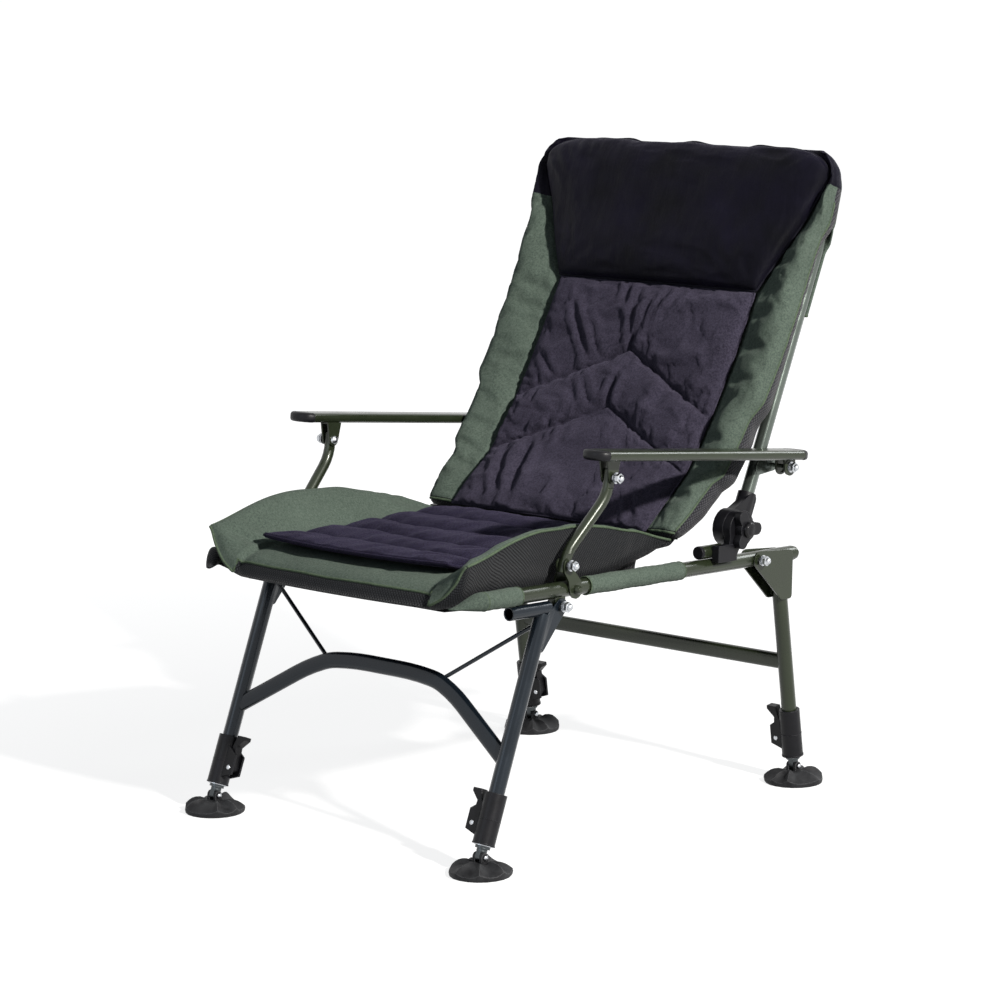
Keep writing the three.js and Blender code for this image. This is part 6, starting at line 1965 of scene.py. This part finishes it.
# %% legs and feet
FOOT_PIVOT_HEIGHT = 0.0245
FOOT_PLACES = {"front": -0.37679, "rear": 0.30138}
LEG_UPS = {"front": (0, 0.379456, 0.92521), "rear": (0, -0.130526, 0.991445)}
SLEEVE_RADIUS = 0.0155
SLEEVE_BORE = 0.0107
SLEEVE_FOOT = 0.016
SLEEVE_SEAM = 0.050
RIB = 0.0011
RIVET_INSET = 0.022
RIVET_REACH = 0.0096
RIVET_UP = 0.042
RIVET_RADIUS = 0.0036
RIVET_HEIGHT = 0.0014
PIN_REACH = 0.0105
PIN_HEIGHT = 0.0021
PETALS = 7
PETAL_TURNS = (0.16, 0.1)
PETAL_SHARPNESS = 1.4
PETAL_UNEVEN_SHARE = 0.35
PHASES = (0, 6)
PETAL_RADII = [0.0125, 0.017, 0.022, 0.028, 0.033, 0.038, 0.0424, 0.0428, 0.0422, 0.030]
PETAL_HEIGHTS = [0.0172, 0.0162, 0.0146, 0.0124, 0.0105, 0.0084, 0.0060, 0.0036, 0.0006, 0.0004]
PETAL_CRESTS = [0.001, 0.0034, 0.0062, 0.0078, 0.0080, 0.0066, 0.0044, 0.0030, 0.0014, 0]
PETAL_SPREADS = [0, 0, 0, 0.0002, 0.0004, 0.0006, 0.0010, 0.0012, 0.0010, 0]
FOOT_POINTS = 96


def foot_petals(name, centre, body):
    """A rubber skirt of folded petals: sharp ribs run out from the middle to a wavy rim."""
    turn = 2 * math.pi * np.arange(FOOT_POINTS) / FOOT_POINTS
    wobble = PETAL_TURNS[0] * np.sin(2 * turn + rng.uniform(*PHASES))
    wobble += PETAL_TURNS[1] * np.sin(3 * turn + rng.uniform(*PHASES))
    crest = (1 - np.abs(np.sin((turn + wobble) * PETALS / 2))) ** PETAL_SHARPNESS
    uneven = 1 + PETAL_UNEVEN_SHARE * np.sin(turn * 3 + rng.uniform(*PHASES))
    radii = np.array(PETAL_RADII)[:, None] + np.array(PETAL_SPREADS)[:, None] * crest
    heights = np.array(PETAL_HEIGHTS)[:, None] + np.array(PETAL_CRESTS)[:, None] * crest * uneven
    loops = np.stack([centre[0] + radii * np.cos(turn), centre[1] + radii * np.sin(turn),
                      heights], -1)
    mesh = loft(name, loops[::-1], [RUBBER])
    mesh.set_sharp_from_angle(angle=METAL_SHARP_ANGLE)
    return object_of(name, mesh, body, slot="foot_rubber")


def rivets(end, word, side, pivot, up, fore):
    """The foot's two hinge pins and the sleeve lever's two rivets."""
    for way, pin_mark, rivet_mark in ((-1, "inner", "front"), (1, "outer", "rear")):
        pin = pivot + np.array([way * PIN_REACH, 0, 0])
        turned(f"foot_pin_{end}_{word}_{pin_mark}", pin, (way, 0, 0),
               dome(0, RIVET_RADIUS, PIN_HEIGHT), ZINC, f"{end}_{word}_foot", "zinc")
        spot = pivot - side * np.array([RIVET_INSET, 0, 0]) + way * RIVET_REACH * fore
        turned(f"lever_rivet_{end}_{word}_{rivet_mark}", spot + RIVET_UP * up, way * fore,
               dome(0, RIVET_RADIUS, RIVET_HEIGHT), ZINC, f"{end}_legs", "zinc")


for end, y in FOOT_PLACES.items():
    up = np.array(LEG_UPS[end])
    fore = np.array([0, up[2], -up[1]])
    for side, word in ((1, "left"), (-1, "right")):
        pivot = np.array([side * RAIL_HALF_SPREAD, y, FOOT_PIVOT_HEIGHT])
        foot_petals(f"foot_petals_{end}_{word}", pivot, f"{end}_{word}_foot")
        rivets(end, word, side, pivot, up, fore)
        ring(f"sleeve_seam_{end}_{word}", pivot, up, SLEEVE_RADIUS - RIB, SLEEVE_RADIUS + RIB / 4,
             SLEEVE_SEAM, RIB, PLASTIC, f"{end}_legs", "black_plastic")
        ring(f"sleeve_rim_{end}_{word}", pivot, up, SLEEVE_RADIUS - RIB, SLEEVE_RADIUS + RIB / 2,
             SLEEVE_FOOT, 2 * RIB, PLASTIC, f"{end}_legs", "black_plastic")
        ring(f"sleeve_collar_{end}_{word}", pivot, up, SLEEVE_BORE, SLEEVE_RADIUS - 2 * RIB,
             SLEEVE_FOOT - RIB, RIB, ZINC, f"{end}_legs", "zinc")
print("feet dressed:", 2 * len(FOOT_PLACES))

# %% [markdown]
# ## Finish

# %% finish
bpy.context.view_layer.update()
